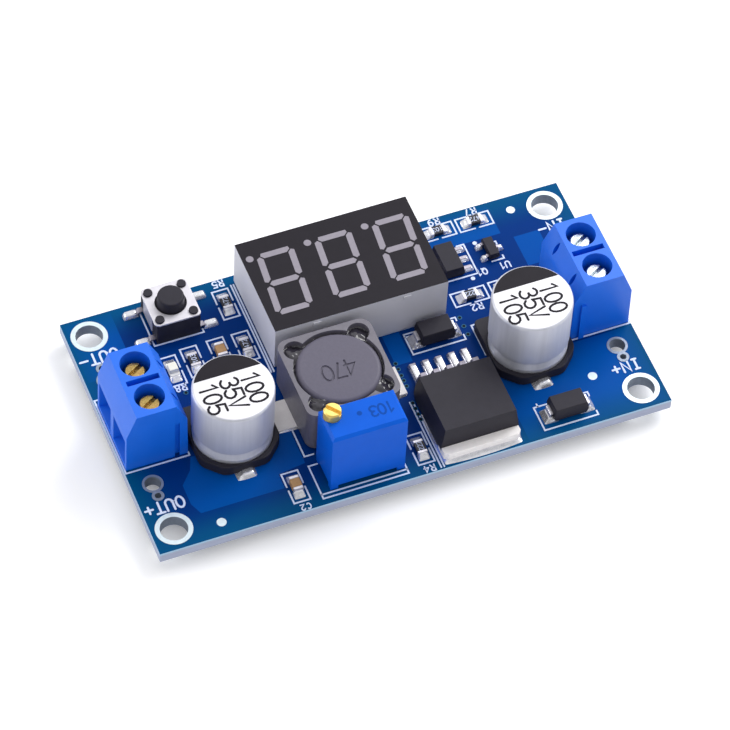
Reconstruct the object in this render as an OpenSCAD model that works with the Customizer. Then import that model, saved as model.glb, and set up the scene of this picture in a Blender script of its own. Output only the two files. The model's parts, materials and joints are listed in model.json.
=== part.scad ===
// Step-down converter module with a three-digit meter, screw terminals and a trimmer.
// The origin is the centre of the board's outline, level with the tips of the solder joints
// that the module stands on. +X runs along the long edge, from the output to the input.
// Places on the board are given from its front left corner, heights from its top face.

/* [Board] */
// Length of the circuit board
board_l = 66; // [65.5:0.1:67]
// Width of the circuit board
board_w = 36; // [35.5:0.1:37]
// Thickness of the circuit board
board_t = 1.6; // [1.2:0.1:2]
// How far the solder joints stand out under the board
joint_h = 1.6; // [1.4:0.1:2]
// Finished diameter of the corner mounting holes
mount_d = 3.4; // [3:0.1:3.5]
// Diameter of the tinned ring round a mounting hole
mount_ring_d = 4.6; // [4.2:0.1:5]

/* [Screw terminals] */
// Distance between the two poles of a terminal
pole_pitch = 5.08; // [5.08:0.01:5.08]
// Length of a terminal housing
block_l = 10.2; // [10.16:0.02:10.4]
// Height of a terminal housing
block_h = 10; // [9.8:0.1:10.5]
// Diameter of the wells that give access to the clamp screws
well_d = 3.7; // [3.4:0.1:3.9]
// How far a clamp screw drives its plate down on to the wire
clamp_travel = 2; // [1.5:0.1:2]

/* [Capacitors] */
// Diameter of the can
can_d = 10; // [9.8:0.1:10]
// Height of the top of the can
can_top = 10.3; // [9.5:0.1:10.5]

/* [Inductor] */
// Side of the square shield
shield_l = 12; // [11.8:0.1:12.3]
// Height of the shield
shield_h = 7; // [6.5:0.1:8]

/* [Display] */
// Length of the display housing
display_l = 22.5; // [22.4:0.1:22.6]
// Depth of the display housing
display_w = 14.1; // [14:0.1:14.2]
// Height of the display's face
display_h = 7.4; // [7:0.1:8]
// Slant of the digits
digit_slant = 5; // [0:1:8]

/* [Push button] */
// Side of the switch
switch_l = 6; // [6:0.1:6.2]
// Height of the top of the plunger
plunger_top = 5; // [4.3:0.1:7]
// Travel of the plunger
plunger_travel = 0.25; // [0.2:0.05:0.3]

/* [Trimmer] */
// Length of the trimmer's case
trimmer_l = 9.53; // [9.53:0.01:9.6]
// Depth of the trimmer's case
trimmer_w = 4.83; // [4.8:0.01:4.9]
// Height of the trimmer's case
trimmer_h = 10; // [9.8:0.1:10.2]

/* [Hidden] */
$fn = 40;

// Working gaps
eps = 0.01;
slip = 0.03;

// Heights of the two board faces, and of the solder film under every surface-mounted foot
board_top = joint_h + board_t;
film = 0.12;

// Corner holes and the wire holes beside the terminals
mount_inset = [2.8, 2.9];
mount_places = [for (x = [mount_inset[0], board_l - mount_inset[0]])
  for (y = [mount_inset[1], board_w - mount_inset[1]]) [x, y]];
wire_hole_x = [2.65, board_l - 2.95];
wire_big = [for (x = wire_hole_x) for (y = [9.85, board_w - 9.85]) [x, y]];
wire_small = [for (x = wire_hole_x) for (y = [8, board_w - 8]) [x, y]];
wire_big_d = 2;
wire_small_d = 0.8;

// Centres of the parts on the board
out_block = [4.2, 17.8];
in_block = [61.85, 17.8];
out_can = [13.9, 12.95];
in_can = [52.45, 13.2];
inductor = [27.7, 13.7];
display = [33.55, 27.95];
switch = [13, 32.15];
trimmer = [26.98, 4.15];
regulator = [41.55, 0];
output_diode = [42.5, 18.8];
input_diode = [53.4, 2.9];
transistor = [48.3, 28.6];
reference = [54, 28.7];
flat_resistors = [[48.9, 33.7], [53.9, 33.7], [48.9, 23], [54, 23.1]];
upright_resistors = [[20.2, 32.1], [34.5, 3.7], [13.5, 25.2], [20.2, 25.2]];
chip_capacitors = [[18.5, 3.6], [17, 25.3]];
indicator = [10.6, 24.7];
controller = [31, 12];

// Pins that pass through the board, with the radius of each
terminal_pin_r = 0.5;
trimmer_pin_r = 0.28;
display_pin_r = 0.25;
pin_room = 0.15;
pin_end = 1.1;
trimmer_pitch = 2.54;
display_pitch = 2.54;
display_rows = 10.16;
terminal_pin_places = [for (c = [out_block, in_block]) for (s = [-1, 1]) [c[0], c[1] + s * pole_pitch / 2]];
trimmer_pin_places = [for (i = [-1:1]) [trimmer[0] + i * trimmer_pitch, trimmer[1]]];
display_pin_places = [for (s = [-1, 1]) for (i = [-2.5:2.5])
  [display[0] + i * display_pitch, display[1] + s * display_rows / 2]];

// Terminal: section of the housing, seen along its length with the wire side at -X
block_section = [
  [-3.9, 0], [3.95, 0], [3.85, 7], [2.45, block_h], [-2.5, block_h], [-3.8, 6.5]
];
chamber = [3.4, 3.7, 5.2];
cage = [3.2, 3.5];
cage_z = [0.6, chamber[2]];
cage_wall = 0.5;
cage_roof = 0.8;
plate_size = [2.8, 2.3, 0.5];
plate_top = cage_z[1] - cage_roof;
screw_r = 1.15;
screw_head_r = 1.3;
screw_head_top = block_h - 1.35;
screw_head_h = 1.3;
screw_neck_r = 0.5;
screw_rivet_r = 0.8;
rivet_h = 0.2;
slot_w = 0.5;
slot_depth = 0.6;
groove = [4.1, 0.75, 1.4];
window_r = 2.17;
window_w = 0.6;
window_depth = 1.3;

// Places a part by its centre on the top face, or hung under the board
module on_board(p, h = 0)
  translate([p[0] - board_l / 2, p[1] - board_w / 2, board_top + h]) children();

module under_board(p)
  translate([p[0] - board_l / 2, p[1] - board_w / 2, joint_h]) mirror([0, 0, 1]) children();

// A block that stands on height z, centred on the other two axes
module block(size, z = 0)
  translate([-size[0] / 2, -size[1] / 2, z]) cube(size);

// A solid with one outline seen along Y and another seen along X
module two_sections(front, side, reach = 30)
  intersection() {
    translate([0, reach, 0]) rotate([90, 0, 0]) linear_extrude(2 * reach) polygon(front);
    translate([-reach, 0, 0]) rotate([90, 0, 90]) linear_extrude(2 * reach) polygon(side);
  }

// A bent strip: its outline seen along Y or along X, and its width across
module strip_along_x(outline, width)
  translate([0, width / 2, 0]) rotate([90, 0, 0]) linear_extrude(width) polygon(outline);

module strip_along_y(outline, width)
  translate([-width / 2, 0, 0]) rotate([90, 0, 90]) linear_extrude(width) polygon(outline);

// Outline of a block whose two halves draft away from the moulding line
function drafted(bottom, line, top, z) =
  [[-bottom, z[0]], [bottom, z[0]], [line, z[1]], [top, z[2]], [-top, z[2]], [-line, z[1]]];

// The point at distance d from p on the way to q
function toward(p, q, d) = p + (q - p) * d / norm(q - p);

// An outline whose corners turn into curves that start at distance d from each corner
function soft_corners(outline, d, steps = 4) =
  let (n = len(outline))
  [for (i = [0:n - 1], k = [0:steps])
    let (
      p = outline[i],
      from = toward(p, outline[(i + n - 1) % n], d),
      to = toward(p, outline[(i + 1) % n], d),
      t = k / steps
    )
    pow(1 - t, 2) * from + 2 * t * (1 - t) * p + pow(t, 2) * to];

module rounded_square(side, r) {
  square([side, side - 2 * r], center = true);
  square([side - 2 * r, side], center = true);
  for (x = [-1, 1], y = [-1, 1])
    translate([x, y] * (side / 2 - r)) circle(r);
}

// ---------------------------------------------------------------- board

module circuit_board() {
  color("royalblue")
    difference() {
      translate([0, 0, joint_h]) block([board_l, board_w, board_t]);
      for (p = mount_places) board_drill(p, mount_d / 2 + 0.05);
      for (p = wire_big) board_drill(p, wire_big_d / 2 + 0.05);
      for (p = wire_small) board_drill(p, wire_small_d / 2 + 0.05);
      for (p = terminal_pin_places) board_drill(p, terminal_pin_r + pin_room);
      for (p = trimmer_pin_places) board_drill(p, trimmer_pin_r + pin_room);
      for (p = display_pin_places) board_drill(p, display_pin_r + pin_room);
    }
}

module board_drill(p, r)
  on_board(p, -board_t - 1) cylinder(h = board_t + 2, r = r);

// A plated hole is an eyelet: a barrel through the board with a ring on each face
module eyelet(p, bore_d, ring_d) {
  wall = 0.05;
  skin = 0.05;
  r = bore_d / 2;
  on_board(p, -board_t) rotate_extrude()
    polygon([
      [r, -skin], [ring_d / 2, -skin], [ring_d / 2, 0], [r + wall, 0],
      [r + wall, board_t], [ring_d / 2, board_t], [ring_d / 2, board_t + skin], [r, board_t + skin]
    ]);
}

module mounting_hole_plating() {
  color("gainsboro")
    for (p = mount_places) eyelet(p, mount_d, mount_ring_d);
}

module wire_hole_plating() {
  color("silver") {
    for (p = wire_big) eyelet(p, wire_big_d, wire_big_d + 0.6);
    for (p = wire_small) eyelet(p, wire_small_d, wire_small_d + 0.7);
  }
}

// Film of solder under one foot: centre, then length and width
module pad(p, size)
  on_board(p) block([size[0], size[1], film]);

module chip_pads(p, upright) {
  for (s = [-1, 1])
    if (upright) pad([p[0], p[1] + s * 1.15], [1.45, 1.2]);
    else pad([p[0] + s * 1.15, p[1]], [1.2, 1.45]);
}

module surface_solder() {
  color("silver") {
    for (p = flat_resistors) chip_pads(p, false);
    for (p = upright_resistors) chip_pads(p, true);
    for (p = chip_capacitors) chip_pads(p, true);
    chip_pads(indicator, true);
    for (c = [out_can, in_can], s = [-1, 1])
      pad([c[0] - 0.3, c[1] + s * 4.5], [2.6, 3.6]);
    for (s = [-1, 1])
      pad([inductor[0] + s * 6.25, inductor[1] + 0.1], [4.5, 4.7]);
    pad([regulator[0], 4.45], [10.6, 8.5]);
    for (i = [-2:2])
      pad([regulator[0] + i * lead_pitch, 14.3], [1.1, 3]);
    for (c = [output_diode, input_diode], s = [-1, 1])
      pad([c[0] + s * 2.35, c[1]], [2, 2.2]);
    for (s = [-1, 1], t = [-1, 1])
      pad([switch[0] + s * 4.4, switch[1] + t * 2.25], [2, 1.1]);
    for (i = [-1:1])
      pad([transistor[0] + 2, transistor[1] + i * 1.55], [1.5, 0.9]);
    pad([transistor[0] - 1.5, transistor[1]], [2, 2]);
    for (s = [-1, 1])
      pad([reference[0] - 1.2, reference[1] + s * 0.95], [1, 0.8]);
    pad([reference[0] + 1.2, reference[1]], [1, 0.8]);
    for (i = [0:9], s = [-1, 1])
      under_board(controller_lead_place(i, s)) block([0.4, 1.3, film]);
  }
}

// Joint of a pin that passes through the board: a concave cone that closes over the pin's end
module solder_joint(pin_r, base_r)
  rotate_extrude($fn = 24)
    polygon([
      [pin_r, 0], [base_r, 0], [base_r * 0.72, joint_h * 0.22], [base_r * 0.5, joint_h * 0.55],
      [base_r * 0.36, joint_h * 0.88], [base_r * 0.22, joint_h], [0, joint_h], [0, pin_end], [pin_r, pin_end]
    ]);

module solder_joints() {
  color("silver") {
    for (p = terminal_pin_places) under_board(p) solder_joint(terminal_pin_r, 1.5);
    for (p = trimmer_pin_places) under_board(p) solder_joint(trimmer_pin_r, 0.95);
    for (p = display_pin_places) under_board(p) solder_joint(display_pin_r, 0.9);
  }
}

// ---------------------------------------------------------------- screw terminals

// The output block faces its wires to -X, the input block is the same part turned round
module at_out_block() on_board(out_block) children();

module at_in_block() on_board(in_block) rotate([0, 0, 180]) children();

// s is the pole's side along the block's own length
module at_pole(s) translate([0, s * pole_pitch / 2, 0]) children();

module terminal_housing() {
  difference() {
    union() {
      strip_along_x(block_section, block_l);
      translate([2.6, block_l / 2, 0]) dovetail(0.25, 0.36, 0.35);
    }
    for (s = [-1, 1]) at_pole(s) {
      translate([0, 0, chamber[2] - eps]) cylinder(h = block_h, r = well_d / 2);
      translate([0, 0, -1]) block([chamber[0], chamber[1], chamber[2] + 1]);
      wire_funnel();
      wire_window();
    }
    translate([0.1, 0, 0]) block([groove[0], groove[1], groove[2] + 1], block_h - groove[2]);
    translate([2.6, -block_l / 2, -1]) dovetail(0.3, 0.42, 0.42, 7.5);
  }
}

// The rib on one end of a block slides into the groove on the next block's end
module dovetail(neck, root, depth, height = 6.4)
  linear_extrude(height)
    polygon([[-neck, -eps], [neck, -eps], [root, depth], [-root, depth]]);

// The mouth for the wire narrows in both directions towards the cage
module wire_funnel()
  intersection() {
    translate([0, 0, -1]) linear_extrude(block_h)
      polygon([[-5, -2.15], [-5, 2.15], [-3.2, 2.0], [-1.6, 1.25], [-1.6, -1.25], [-3.2, -2.0]]);
    translate([0, 5, 0]) rotate([90, 0, 0]) linear_extrude(10)
      polygon([[-5, 0.5], [-3.2, 0.7], [-1.6, 1.1], [-1.6, 4.3], [-3.2, 5.1], [-5, 5.4]]);
  }

// A pointed slit in the sloping face over each pole
module wire_window()
  translate([3.15, 0, 8.5]) rotate([0, 65, 0])
    translate([0, 0, -window_depth])
      linear_extrude(window_depth + 1)
        intersection_for(s = [-1, 1])
          translate([0, s * (window_r - window_w / 2)]) circle(window_r);

module out_terminal_housing() {
  color("dodgerblue") at_out_block() terminal_housing();
}

module in_terminal_housing() {
  color("dodgerblue") at_in_block() terminal_housing();
}

// A folded box with a tapped roof, and the pin that carries it through the board
module terminal_cage() {
  inner_w = cage[1] - 2 * cage_wall;
  difference() {
    block([cage[0], cage[1], cage_z[1] - cage_z[0]], cage_z[0]);
    block([cage[0] + 1, inner_w, cage_z[1] - cage_roof - cage_z[0] - cage_wall], cage_z[0] + cage_wall);
    translate([0, 0, cage_z[1] - cage_roof - 1]) cylinder(h = cage_roof + 2, r = screw_r + slip);
  }
  translate([0, 0, -board_t - pin_end])
    cylinder(h = board_t + pin_end + cage_z[0] + 0.2, r = terminal_pin_r);
}

module terminal_cages() {
  color("gainsboro") {
    at_out_block() for (s = [-1, 1]) at_pole(s) terminal_cage();
    at_in_block() for (s = [-1, 1]) at_pole(s) terminal_cage();
  }
}

// The plate hangs on the screw's riveted tip and is pressed down on to the wire
module clamp_plate() {
  color("silver")
    difference() {
      block(plate_size, plate_top - plate_size[2]);
      translate([0, 0, plate_top - 1]) cylinder(h = 2, r = screw_neck_r + slip);
      translate([0, 0, plate_top - plate_size[2] - 1])
        cylinder(h = 1 + rivet_h + slip, r = screw_rivet_r + slip);
    }
}

module clamp_screw() {
  head_z = screw_head_top - screw_head_h;
  difference() {
    union() {
      translate([0, 0, head_z]) cylinder(h = screw_head_h - 0.15, r = screw_head_r);
      translate([0, 0, screw_head_top - 0.15]) cylinder(h = 0.15, r1 = screw_head_r, r2 = screw_head_r - 0.15);
      translate([0, 0, plate_top]) cylinder(h = head_z - plate_top, r = screw_r);
      translate([0, 0, plate_top - plate_size[2] + rivet_h])
        cylinder(h = plate_size[2] - rivet_h, r = screw_neck_r);
      translate([0, 0, plate_top - plate_size[2]]) cylinder(h = rivet_h, r = screw_rivet_r);
    }
    rotate([0, 0, 30]) block([3, slot_w, 1], screw_head_top - slot_depth);
  }
}

module out_plus_clamp_plate() at_out_block() at_pole(-1) clamp_plate();
module out_minus_clamp_plate() at_out_block() at_pole(1) clamp_plate();
module in_plus_clamp_plate() at_in_block() at_pole(1) clamp_plate();
module in_minus_clamp_plate() at_in_block() at_pole(-1) clamp_plate();

module out_plus_screw() color("gold") at_out_block() at_pole(-1) clamp_screw();
module out_minus_screw() color("gold") at_out_block() at_pole(1) clamp_screw();
module in_plus_screw() color("silver") at_in_block() at_pole(1) clamp_screw();
module in_minus_screw() color("silver") at_in_block() at_pole(-1) clamp_screw();

// ---------------------------------------------------------------- capacitors

can_seat = 1;
base_h = 1.6;
base_l = 10.3;
base_corner = 2.4;
can_lead = [1.1, 4.4, 0.2];

// Drawn can: a groove pressed in near its mouth, and a rolled shoulder at the closed end
module can() {
  r = can_d / 2;
  shoulder = 0.4;
  lip = r - 0.1;
  groove_z = 2.95;
  groove_rise = 0.65;
  rotate_extrude($fn = 64)
    polygon(concat(
      [[0, can_seat], [r - 0.35, can_seat], [lip, can_seat + 0.25], [lip, 2.05], [lip - 0.12, 2.25]],
      [for (a = [-60:30:90]) [r - 0.5 * cos(a), groove_z + groove_rise * sin(a)]],
      [for (a = [0:22.5:90]) [r - shoulder + shoulder * cos(a), can_top - shoulder + shoulder * sin(a)]],
      [[0, can_top]]
    ));
}

// Moulded base: square with two cut corners at the front, and a round seat for the can
module can_base()
  difference() {
    half = base_l / 2;
    inner = half - base_corner;
    translate([0, 0, film]) linear_extrude(base_h - film)
      polygon(soft_corners(
        [[-inner, -half], [inner, -half], [half, -inner], [half, half], [-half, half], [-half, -inner]], 0.8));
    translate([0, 0, can_seat]) cylinder(h = base_h, r = can_d / 2 - 0.05, $fn = 64);
    for (s = [-1, 1])
      translate([0, s * (half - 1.5), film - 1]) block([can_lead[0] + 0.1, 5, 1 + can_lead[2]]);
  }

module can_leads()
  for (s = [-1, 1])
    translate([0, s * 3.7, film]) block(can_lead);

module out_capacitor_can() color("lightsteelblue") on_board(out_can) can();
module in_capacitor_can() color("lightsteelblue") on_board(in_can) can();
module out_capacitor_base() color("dimgray") on_board(out_can) can_base();
module in_capacitor_base() color("dimgray") on_board(in_can) can_base();
module out_capacitor_leads() color("silver") on_board(out_can) can_leads();
module in_capacitor_leads() color("silver") on_board(in_can) can_leads();

// ---------------------------------------------------------------- inductor

shield_bore_r = 5.5;
shield_pocket_r = 1.35;
shield_pocket_at = 4.1;
adhesive_z = [5.75, 6.3];
shield_z = 0.4;
drum_r = 5.2;
drum_z = [shield_z, shield_h - 0.1];
flange_t = 1.2;
drum_core_r = 2.3;
wire_d = 0.7;
wire_turns = 6;

module inductor_shield() {
  color("slategray") on_board(inductor)
    difference() {
      translate([0, 0, shield_z]) linear_extrude(shield_h - shield_z) rounded_square(shield_l, 1.4);
      cylinder(h = shield_h + 1, r = shield_bore_r, $fn = 64);
      at_shield_pockets() cylinder(h = shield_h + 1, r = shield_pocket_r);
    }
}

// The bore runs out into a pocket at each corner
module at_shield_pockets()
  for (x = [-1, 1], y = [-1, 1]) translate([x * shield_pocket_at, y * shield_pocket_at, 0]) children();

// Bead of glue in each pocket, between the shield and the drum
module inductor_adhesive() {
  color("dimgray") on_board(inductor)
    difference() {
      at_shield_pockets()
        translate([0, 0, adhesive_z[0]]) cylinder(h = adhesive_z[1] - adhesive_z[0], r = shield_pocket_r);
      cylinder(h = shield_h, r = drum_r, $fn = 64);
    }
}

// The drum's two flanges hold the winding between them, and the upper one has a full round rim
module inductor_drum() {
  rim = 0.55;
  color("gray") on_board(inductor)
    rotate_extrude($fn = 64)
      polygon(concat(
        [[0, drum_z[0]], [drum_r, drum_z[0]], [drum_r, drum_z[0] + flange_t],
         [drum_core_r, drum_z[0] + flange_t], [drum_core_r, drum_z[1] - flange_t], [drum_r, drum_z[1] - flange_t]],
        [for (a = [0:30:90]) [drum_r - rim + rim * cos(a), drum_z[1] - rim + rim * sin(a)]],
        [[0, drum_z[1]]]
      ));
}

// Turns of enamelled wire, with a scalloped outside
module inductor_winding() {
  low = drum_z[0] + flange_t;
  rise = (drum_z[1] - drum_z[0] - 2 * flange_t) / wire_turns;
  color("peru") on_board(inductor)
    rotate_extrude($fn = 48)
      polygon(concat(
        [[drum_core_r, low]],
        [for (i = [0:wire_turns - 1], a = [-60:60:60])
          [4.05 + 0.3 * cos(a), low + rise * (i + 0.5 + 0.45 * sin(a))]],
        [[drum_core_r, low + rise * wire_turns]]
      ));
}

// Flat plate under each side of the inductor, which stands out beyond the shield
module inductor_terminals() {
  inner = 3;
  reach = shield_l / 2 + 2.4 - inner;
  color("silver") on_board([inductor[0], inductor[1] + 0.1])
    for (s = [-1, 1]) translate([s * (inner + reach / 2), 0, film]) block([reach, 4.3, shield_z - film]);
}

// ---------------------------------------------------------------- display

display_z = 0.3;
display_shelf = 2.2;
display_board_t = 1;
display_wall = 0.5;
digit_pitch = 7.52;
digit_centres = [for (i = [-1:1]) [0.13 + i * digit_pitch, -0.08]];
bar_w = 0.8;
bar_reach = 1.88;
post_x = 2.02;
row_y = 4.38;
dot_place = [-2.87, 4.43];
dot_r = 0.47;

function slanted(points) = [for (p = points) [p[0] + p[1] * tan(digit_slant), p[1]]];

// A bar across the digit at height y, with its own cut at the upper and at the lower corners
function bar(y, upper, lower) = slanted([
  [-bar_reach, y], [-bar_reach + upper, y + bar_w / 2], [bar_reach - upper, y + bar_w / 2],
  [bar_reach, y], [bar_reach - lower, y - bar_w / 2], [-bar_reach + lower, y - bar_w / 2]
]);

// A post of the digit between heights y0 and y1; the outer corners are cut less than the inner
function post(side, y0, y1) = slanted([
  [side * post_x, y0], [side * (post_x + bar_w / 2), y0 + 0.2], [side * (post_x + bar_w / 2), y1 - 0.2],
  [side * post_x, y1], [side * (post_x - bar_w / 2), y1 - 0.4], [side * (post_x - bar_w / 2), y0 + 0.4]
]);

module digit_outline() {
  polygon(bar(row_y, 0.12, 0.42));
  polygon(bar(0, 0.35, 0.35));
  polygon(bar(-row_y, 0.42, 0.12));
  for (side = [-1, 1]) {
    polygon(post(side, 0.3, row_y - 0.1));
    polygon(post(side, -row_y + 0.1, -0.3));
  }
  translate(dot_place) circle(dot_r);
}

// Light wells of the segments run from the face down to the rear board
module display_wells(h)
  translate([0, 0, display_shelf]) linear_extrude(h)
    for (c = digit_centres) translate(c) digit_outline();

module display_housing() {
  color("lightgray") on_board(display)
    difference() {
      union() {
        block([display_l, display_w, display_h - display_z], display_z);
        for (x = [-5.85, 5.9])
          translate([x, -display_w / 2, 0]) block([1, 0.3, 0.5], display_h - 0.9);
      }
      translate([0, 0, -1])
        block([display_l - 2 * display_wall, display_w - 2 * display_wall, display_shelf + 1]);
      display_wells(display_h);
    }
}

module display_segments() {
  color("white") on_board(display) display_wells(display_h - display_shelf);
}

module display_board() {
  color("seagreen") on_board(display)
    difference() {
      block([display_l - 2 * display_wall - 0.1, display_w - 2 * display_wall - 0.1, display_board_t],
            display_shelf - display_board_t);
      for (p = display_pin_places)
        translate([p[0] - display[0], p[1] - display[1], 0]) cylinder(h = 1.8, r = display_pin_r);
    }
}

module display_pins() {
  color("silver")
    for (p = display_pin_places)
      on_board(p, -board_t - pin_end) cylinder(h = board_t + pin_end + 1.8, r = display_pin_r);
}

// ---------------------------------------------------------------- push button

switch_roof = [3.35, 3.6];
switch_floor = 0.9;
switch_pit_r = 2.45;
plunger_r = 1.75;
plunger_flange = [2.35, 0.8];
plunger_hole_r = 1.95;
dome_r = 2.3;
dome_h = 0.4;
dome_t = 0.1;
peg = 2.17;
peg_r = 0.55;
switch_side = switch_l / 2 - 0.2;

module at_pegs()
  for (x = [-1, 1], y = [-1, 1]) translate([x * peg, y * peg, 0]) children();

module switch_base() {
  color("darkslategray") on_board(switch) {
    difference() {
      block([2 * switch_side, switch_l, switch_roof[0] - 0.05], 0.05);
      translate([0, 0, switch_floor]) cylinder(h = 5, r = switch_pit_r);
    }
    at_pegs() translate([0, 0, switch_roof[0] - eps]) cylinder(h = 0.5 + eps, r = peg_r, $fn = 24);
  }
}

// Formed steel cover: a plate with a lug folded down each side
module switch_cover() {
  color("lightgray") on_board(switch) {
    difference() {
      translate([0, 0, switch_roof[0]]) linear_extrude(switch_roof[1] - switch_roof[0])
        rounded_square(switch_l, 0.6);
      cylinder(h = 10, r = plunger_hole_r);
      at_pegs() cylinder(h = 10, r = peg_r, $fn = 24);
    }
    for (s = [-1, 1])
      translate([s * (switch_side + 0.1), 0, 0]) block([0.2, 3.2, switch_roof[0] - 1 + eps], 1);
  }
}

// The flange keeps the plunger under the cover, and its nose rests on the dome
module switch_plunger() {
  color("dimgray") on_board(switch)
    rotate_extrude()
      polygon([
        [0, switch_floor + dome_h], [0.8, switch_floor + dome_h],
        [0.8, switch_roof[0] - plunger_flange[1]], [plunger_flange[0], switch_roof[0] - plunger_flange[1]],
        [plunger_flange[0], switch_roof[0]], [plunger_r, switch_roof[0]],
        [plunger_r - 0.1, plunger_top - 0.15], [plunger_r - 0.25, plunger_top], [0, plunger_top]
      ]);
}

// Snap dome: a shallow cap of thin steel, standing on its rim
module switch_dome() {
  color("silver") on_board(switch, switch_floor)
    rotate_extrude()
      polygon(concat(
        [for (i = [0:4]) [dome_r * i / 4, dome_h - (dome_h - dome_t) * pow(i / 4, 2)]],
        [for (i = [4:-1:0]) [dome_r * i / 4, (dome_h - dome_t) * (1 - pow(i / 4, 2))]]
      ));
}

module switch_leads() {
  color("silver") on_board(switch)
    for (a = [0, 180], y = [-1, 1]) rotate([0, 0, a]) translate([0, y * 2.25, 0])
      strip_along_x([
        [switch_side, 0.5], [3.3, 0.5], [3.5, film], [5.1, film],
        [5.1, film + 0.2], [3.65, film + 0.2], [3.45, 0.7], [switch_side, 0.7]
      ], 0.7);
}

// ---------------------------------------------------------------- trimmer

trimmer_foot = 0.6;
trimmer_chamfer = 0.35;
trimmer_corner = 1.27;
trimmer_screw_r = 1.1;
trimmer_screw_z = [6, 11.2];
trimmer_seal_z = [0.8, 1.8];
trimmer_wall = 0.6;

function chamfered_top(half) = [
  [-half, trimmer_foot], [half, trimmer_foot], [half, trimmer_h - trimmer_chamfer],
  [half - trimmer_chamfer, trimmer_h], [trimmer_chamfer - half, trimmer_h], [-half, trimmer_h - trimmer_chamfer]
];

module at_trimmer_screw()
  translate([trimmer_corner - trimmer_l / 2, trimmer_w / 2 - trimmer_corner, 0]) children();

module trimmer_case() {
  color("blue") on_board(trimmer) {
    difference() {
      two_sections(chamfered_top(trimmer_l / 2), chamfered_top(trimmer_w / 2));
      block([trimmer_l - 2 * trimmer_wall, trimmer_w - 2 * trimmer_wall, trimmer_seal_z[1]]);
      at_trimmer_screw() translate([0, 0, trimmer_screw_z[0]]) cylinder(h = 10, r = trimmer_screw_r + slip);
    }
    for (x = [-1, 1], y = [-1, 1])
      translate([x * (trimmer_l / 2 - 0.5), y * (trimmer_w / 2 - 0.4), 0]) block([1, 0.8, trimmer_foot + eps]);
  }
}

module trimmer_screw() {
  color("gold") on_board(trimmer) at_trimmer_screw()
    difference() {
      union() {
        translate([0, 0, trimmer_screw_z[0]])
          cylinder(h = trimmer_screw_z[1] - trimmer_screw_z[0] - 0.2, r = trimmer_screw_r);
        translate([0, 0, trimmer_screw_z[1] - 0.2])
          cylinder(h = 0.2, r1 = trimmer_screw_r, r2 = trimmer_screw_r - 0.15);
      }
      rotate([0, 0, -50]) block([3, 0.5, 1], trimmer_screw_z[1] - 0.55);
    }
}

// Potting that closes the case round the pins
module trimmer_seal() {
  color("darkslateblue") on_board(trimmer)
    difference() {
      block([trimmer_l - 2 * trimmer_wall, trimmer_w - 2 * trimmer_wall, trimmer_seal_z[1] - trimmer_seal_z[0]],
            trimmer_seal_z[0]);
      for (i = [-1:1]) translate([i * trimmer_pitch, 0, 0]) cylinder(h = 1.4, r = trimmer_pin_r);
    }
}

module trimmer_pins() {
  color("silver")
    for (p = trimmer_pin_places)
      on_board(p, -board_t - pin_end) cylinder(h = board_t + pin_end + 1.4, r = trimmer_pin_r);
}

// ---------------------------------------------------------------- regulator

lead_pitch = 1.7;
tab_t = 1.27;
reg_top = 4.5;
reg_line = film + tab_t;

// Copper tab: its front corners are cut, and it narrows where the moulding grips it
module regulator_tab_solid()
  on_board(regulator) translate([0, 0.8, film]) linear_extrude(tab_t)
    polygon([
      [-4.5, 0], [4.5, 0], [5, 0.5], [5, 2.2], [4.2, 2.2],
      [4.2, 7.8], [-4.2, 7.8], [-4.2, 2.2], [-5, 2.2], [-5, 0.5]
    ]);

module regulator_lead_solids()
  on_board(regulator)
    for (i = [-2:2]) translate([i * lead_pitch, 0, 0])
      strip_along_y([
        [10.3, 2.4], [11.9, 2.4], [12.65, film], [15.5, film],
        [15.5, film + 0.5], [13, film + 0.5], [12.25, 2.9], [10.3, 2.9]
      ], 0.85);

module regulator_body() {
  color("dimgray")
    difference() {
      on_board(regulator)
        two_sections(drafted(4.95, 5.05, 4.6, [film, reg_line, reg_top]),
                     [[2.05, film], [10.75, film], [10.95, 2.6], [10.65, reg_top], [2.15, reg_top], [2, reg_line]]);
      regulator_tab_solid();
      regulator_lead_solids();
    }
}

module regulator_tab() color("silver") regulator_tab_solid();
module regulator_leads() color("silver") regulator_lead_solids();

// ---------------------------------------------------------------- diodes

module diode_lead_solids()
  for (a = [0, 180]) rotate([0, 0, a])
    strip_along_x([
      [1.4, film], [2.65, film], [2.65, 1.3], [1.7, 1.3],
      [1.7, 1.1], [2.45, 1.1], [2.45, film + 0.2], [1.4, film + 0.2]
    ], 1.45);

module diode_solid()
  difference() {
    two_sections(drafted(2.1, 2.25, 2.05, [film + 0.2, 1.2, 2.3]),
                 drafted(1.22, 1.35, 1.18, [film + 0.2, 1.2, 2.3]));
    diode_lead_solids();
  }

module output_diode_body() color("dimgray") on_board(output_diode) diode_solid();
module output_diode_leads() color("silver") on_board(output_diode) diode_lead_solids();
module input_diode_body() color("dimgray") on_board(input_diode) diode_solid();
module input_diode_leads() color("silver") on_board(input_diode) diode_lead_solids();

// ---------------------------------------------------------------- transistors

// Three feet on one side and a wide tab on the other
module transistor_lead_solids() {
  for (i = [-1:1]) translate([1.2, i * 1.55 - 0.25, film]) cube([1.2, 0.5, 0.4]);
  translate([-2.2, -0.85, film]) cube([3, 1.7, 0.4]);
}

module transistor_body() {
  color("dimgray") on_board(transistor)
    difference() {
      two_sections(drafted(1.25, 1.3, 1.15, [film, 0.6, 1.6]), drafted(2.25, 2.3, 2.15, [film, 0.6, 1.6]));
      transistor_lead_solids();
    }
}

module transistor_leads() color("silver") on_board(transistor) transistor_lead_solids();

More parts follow.
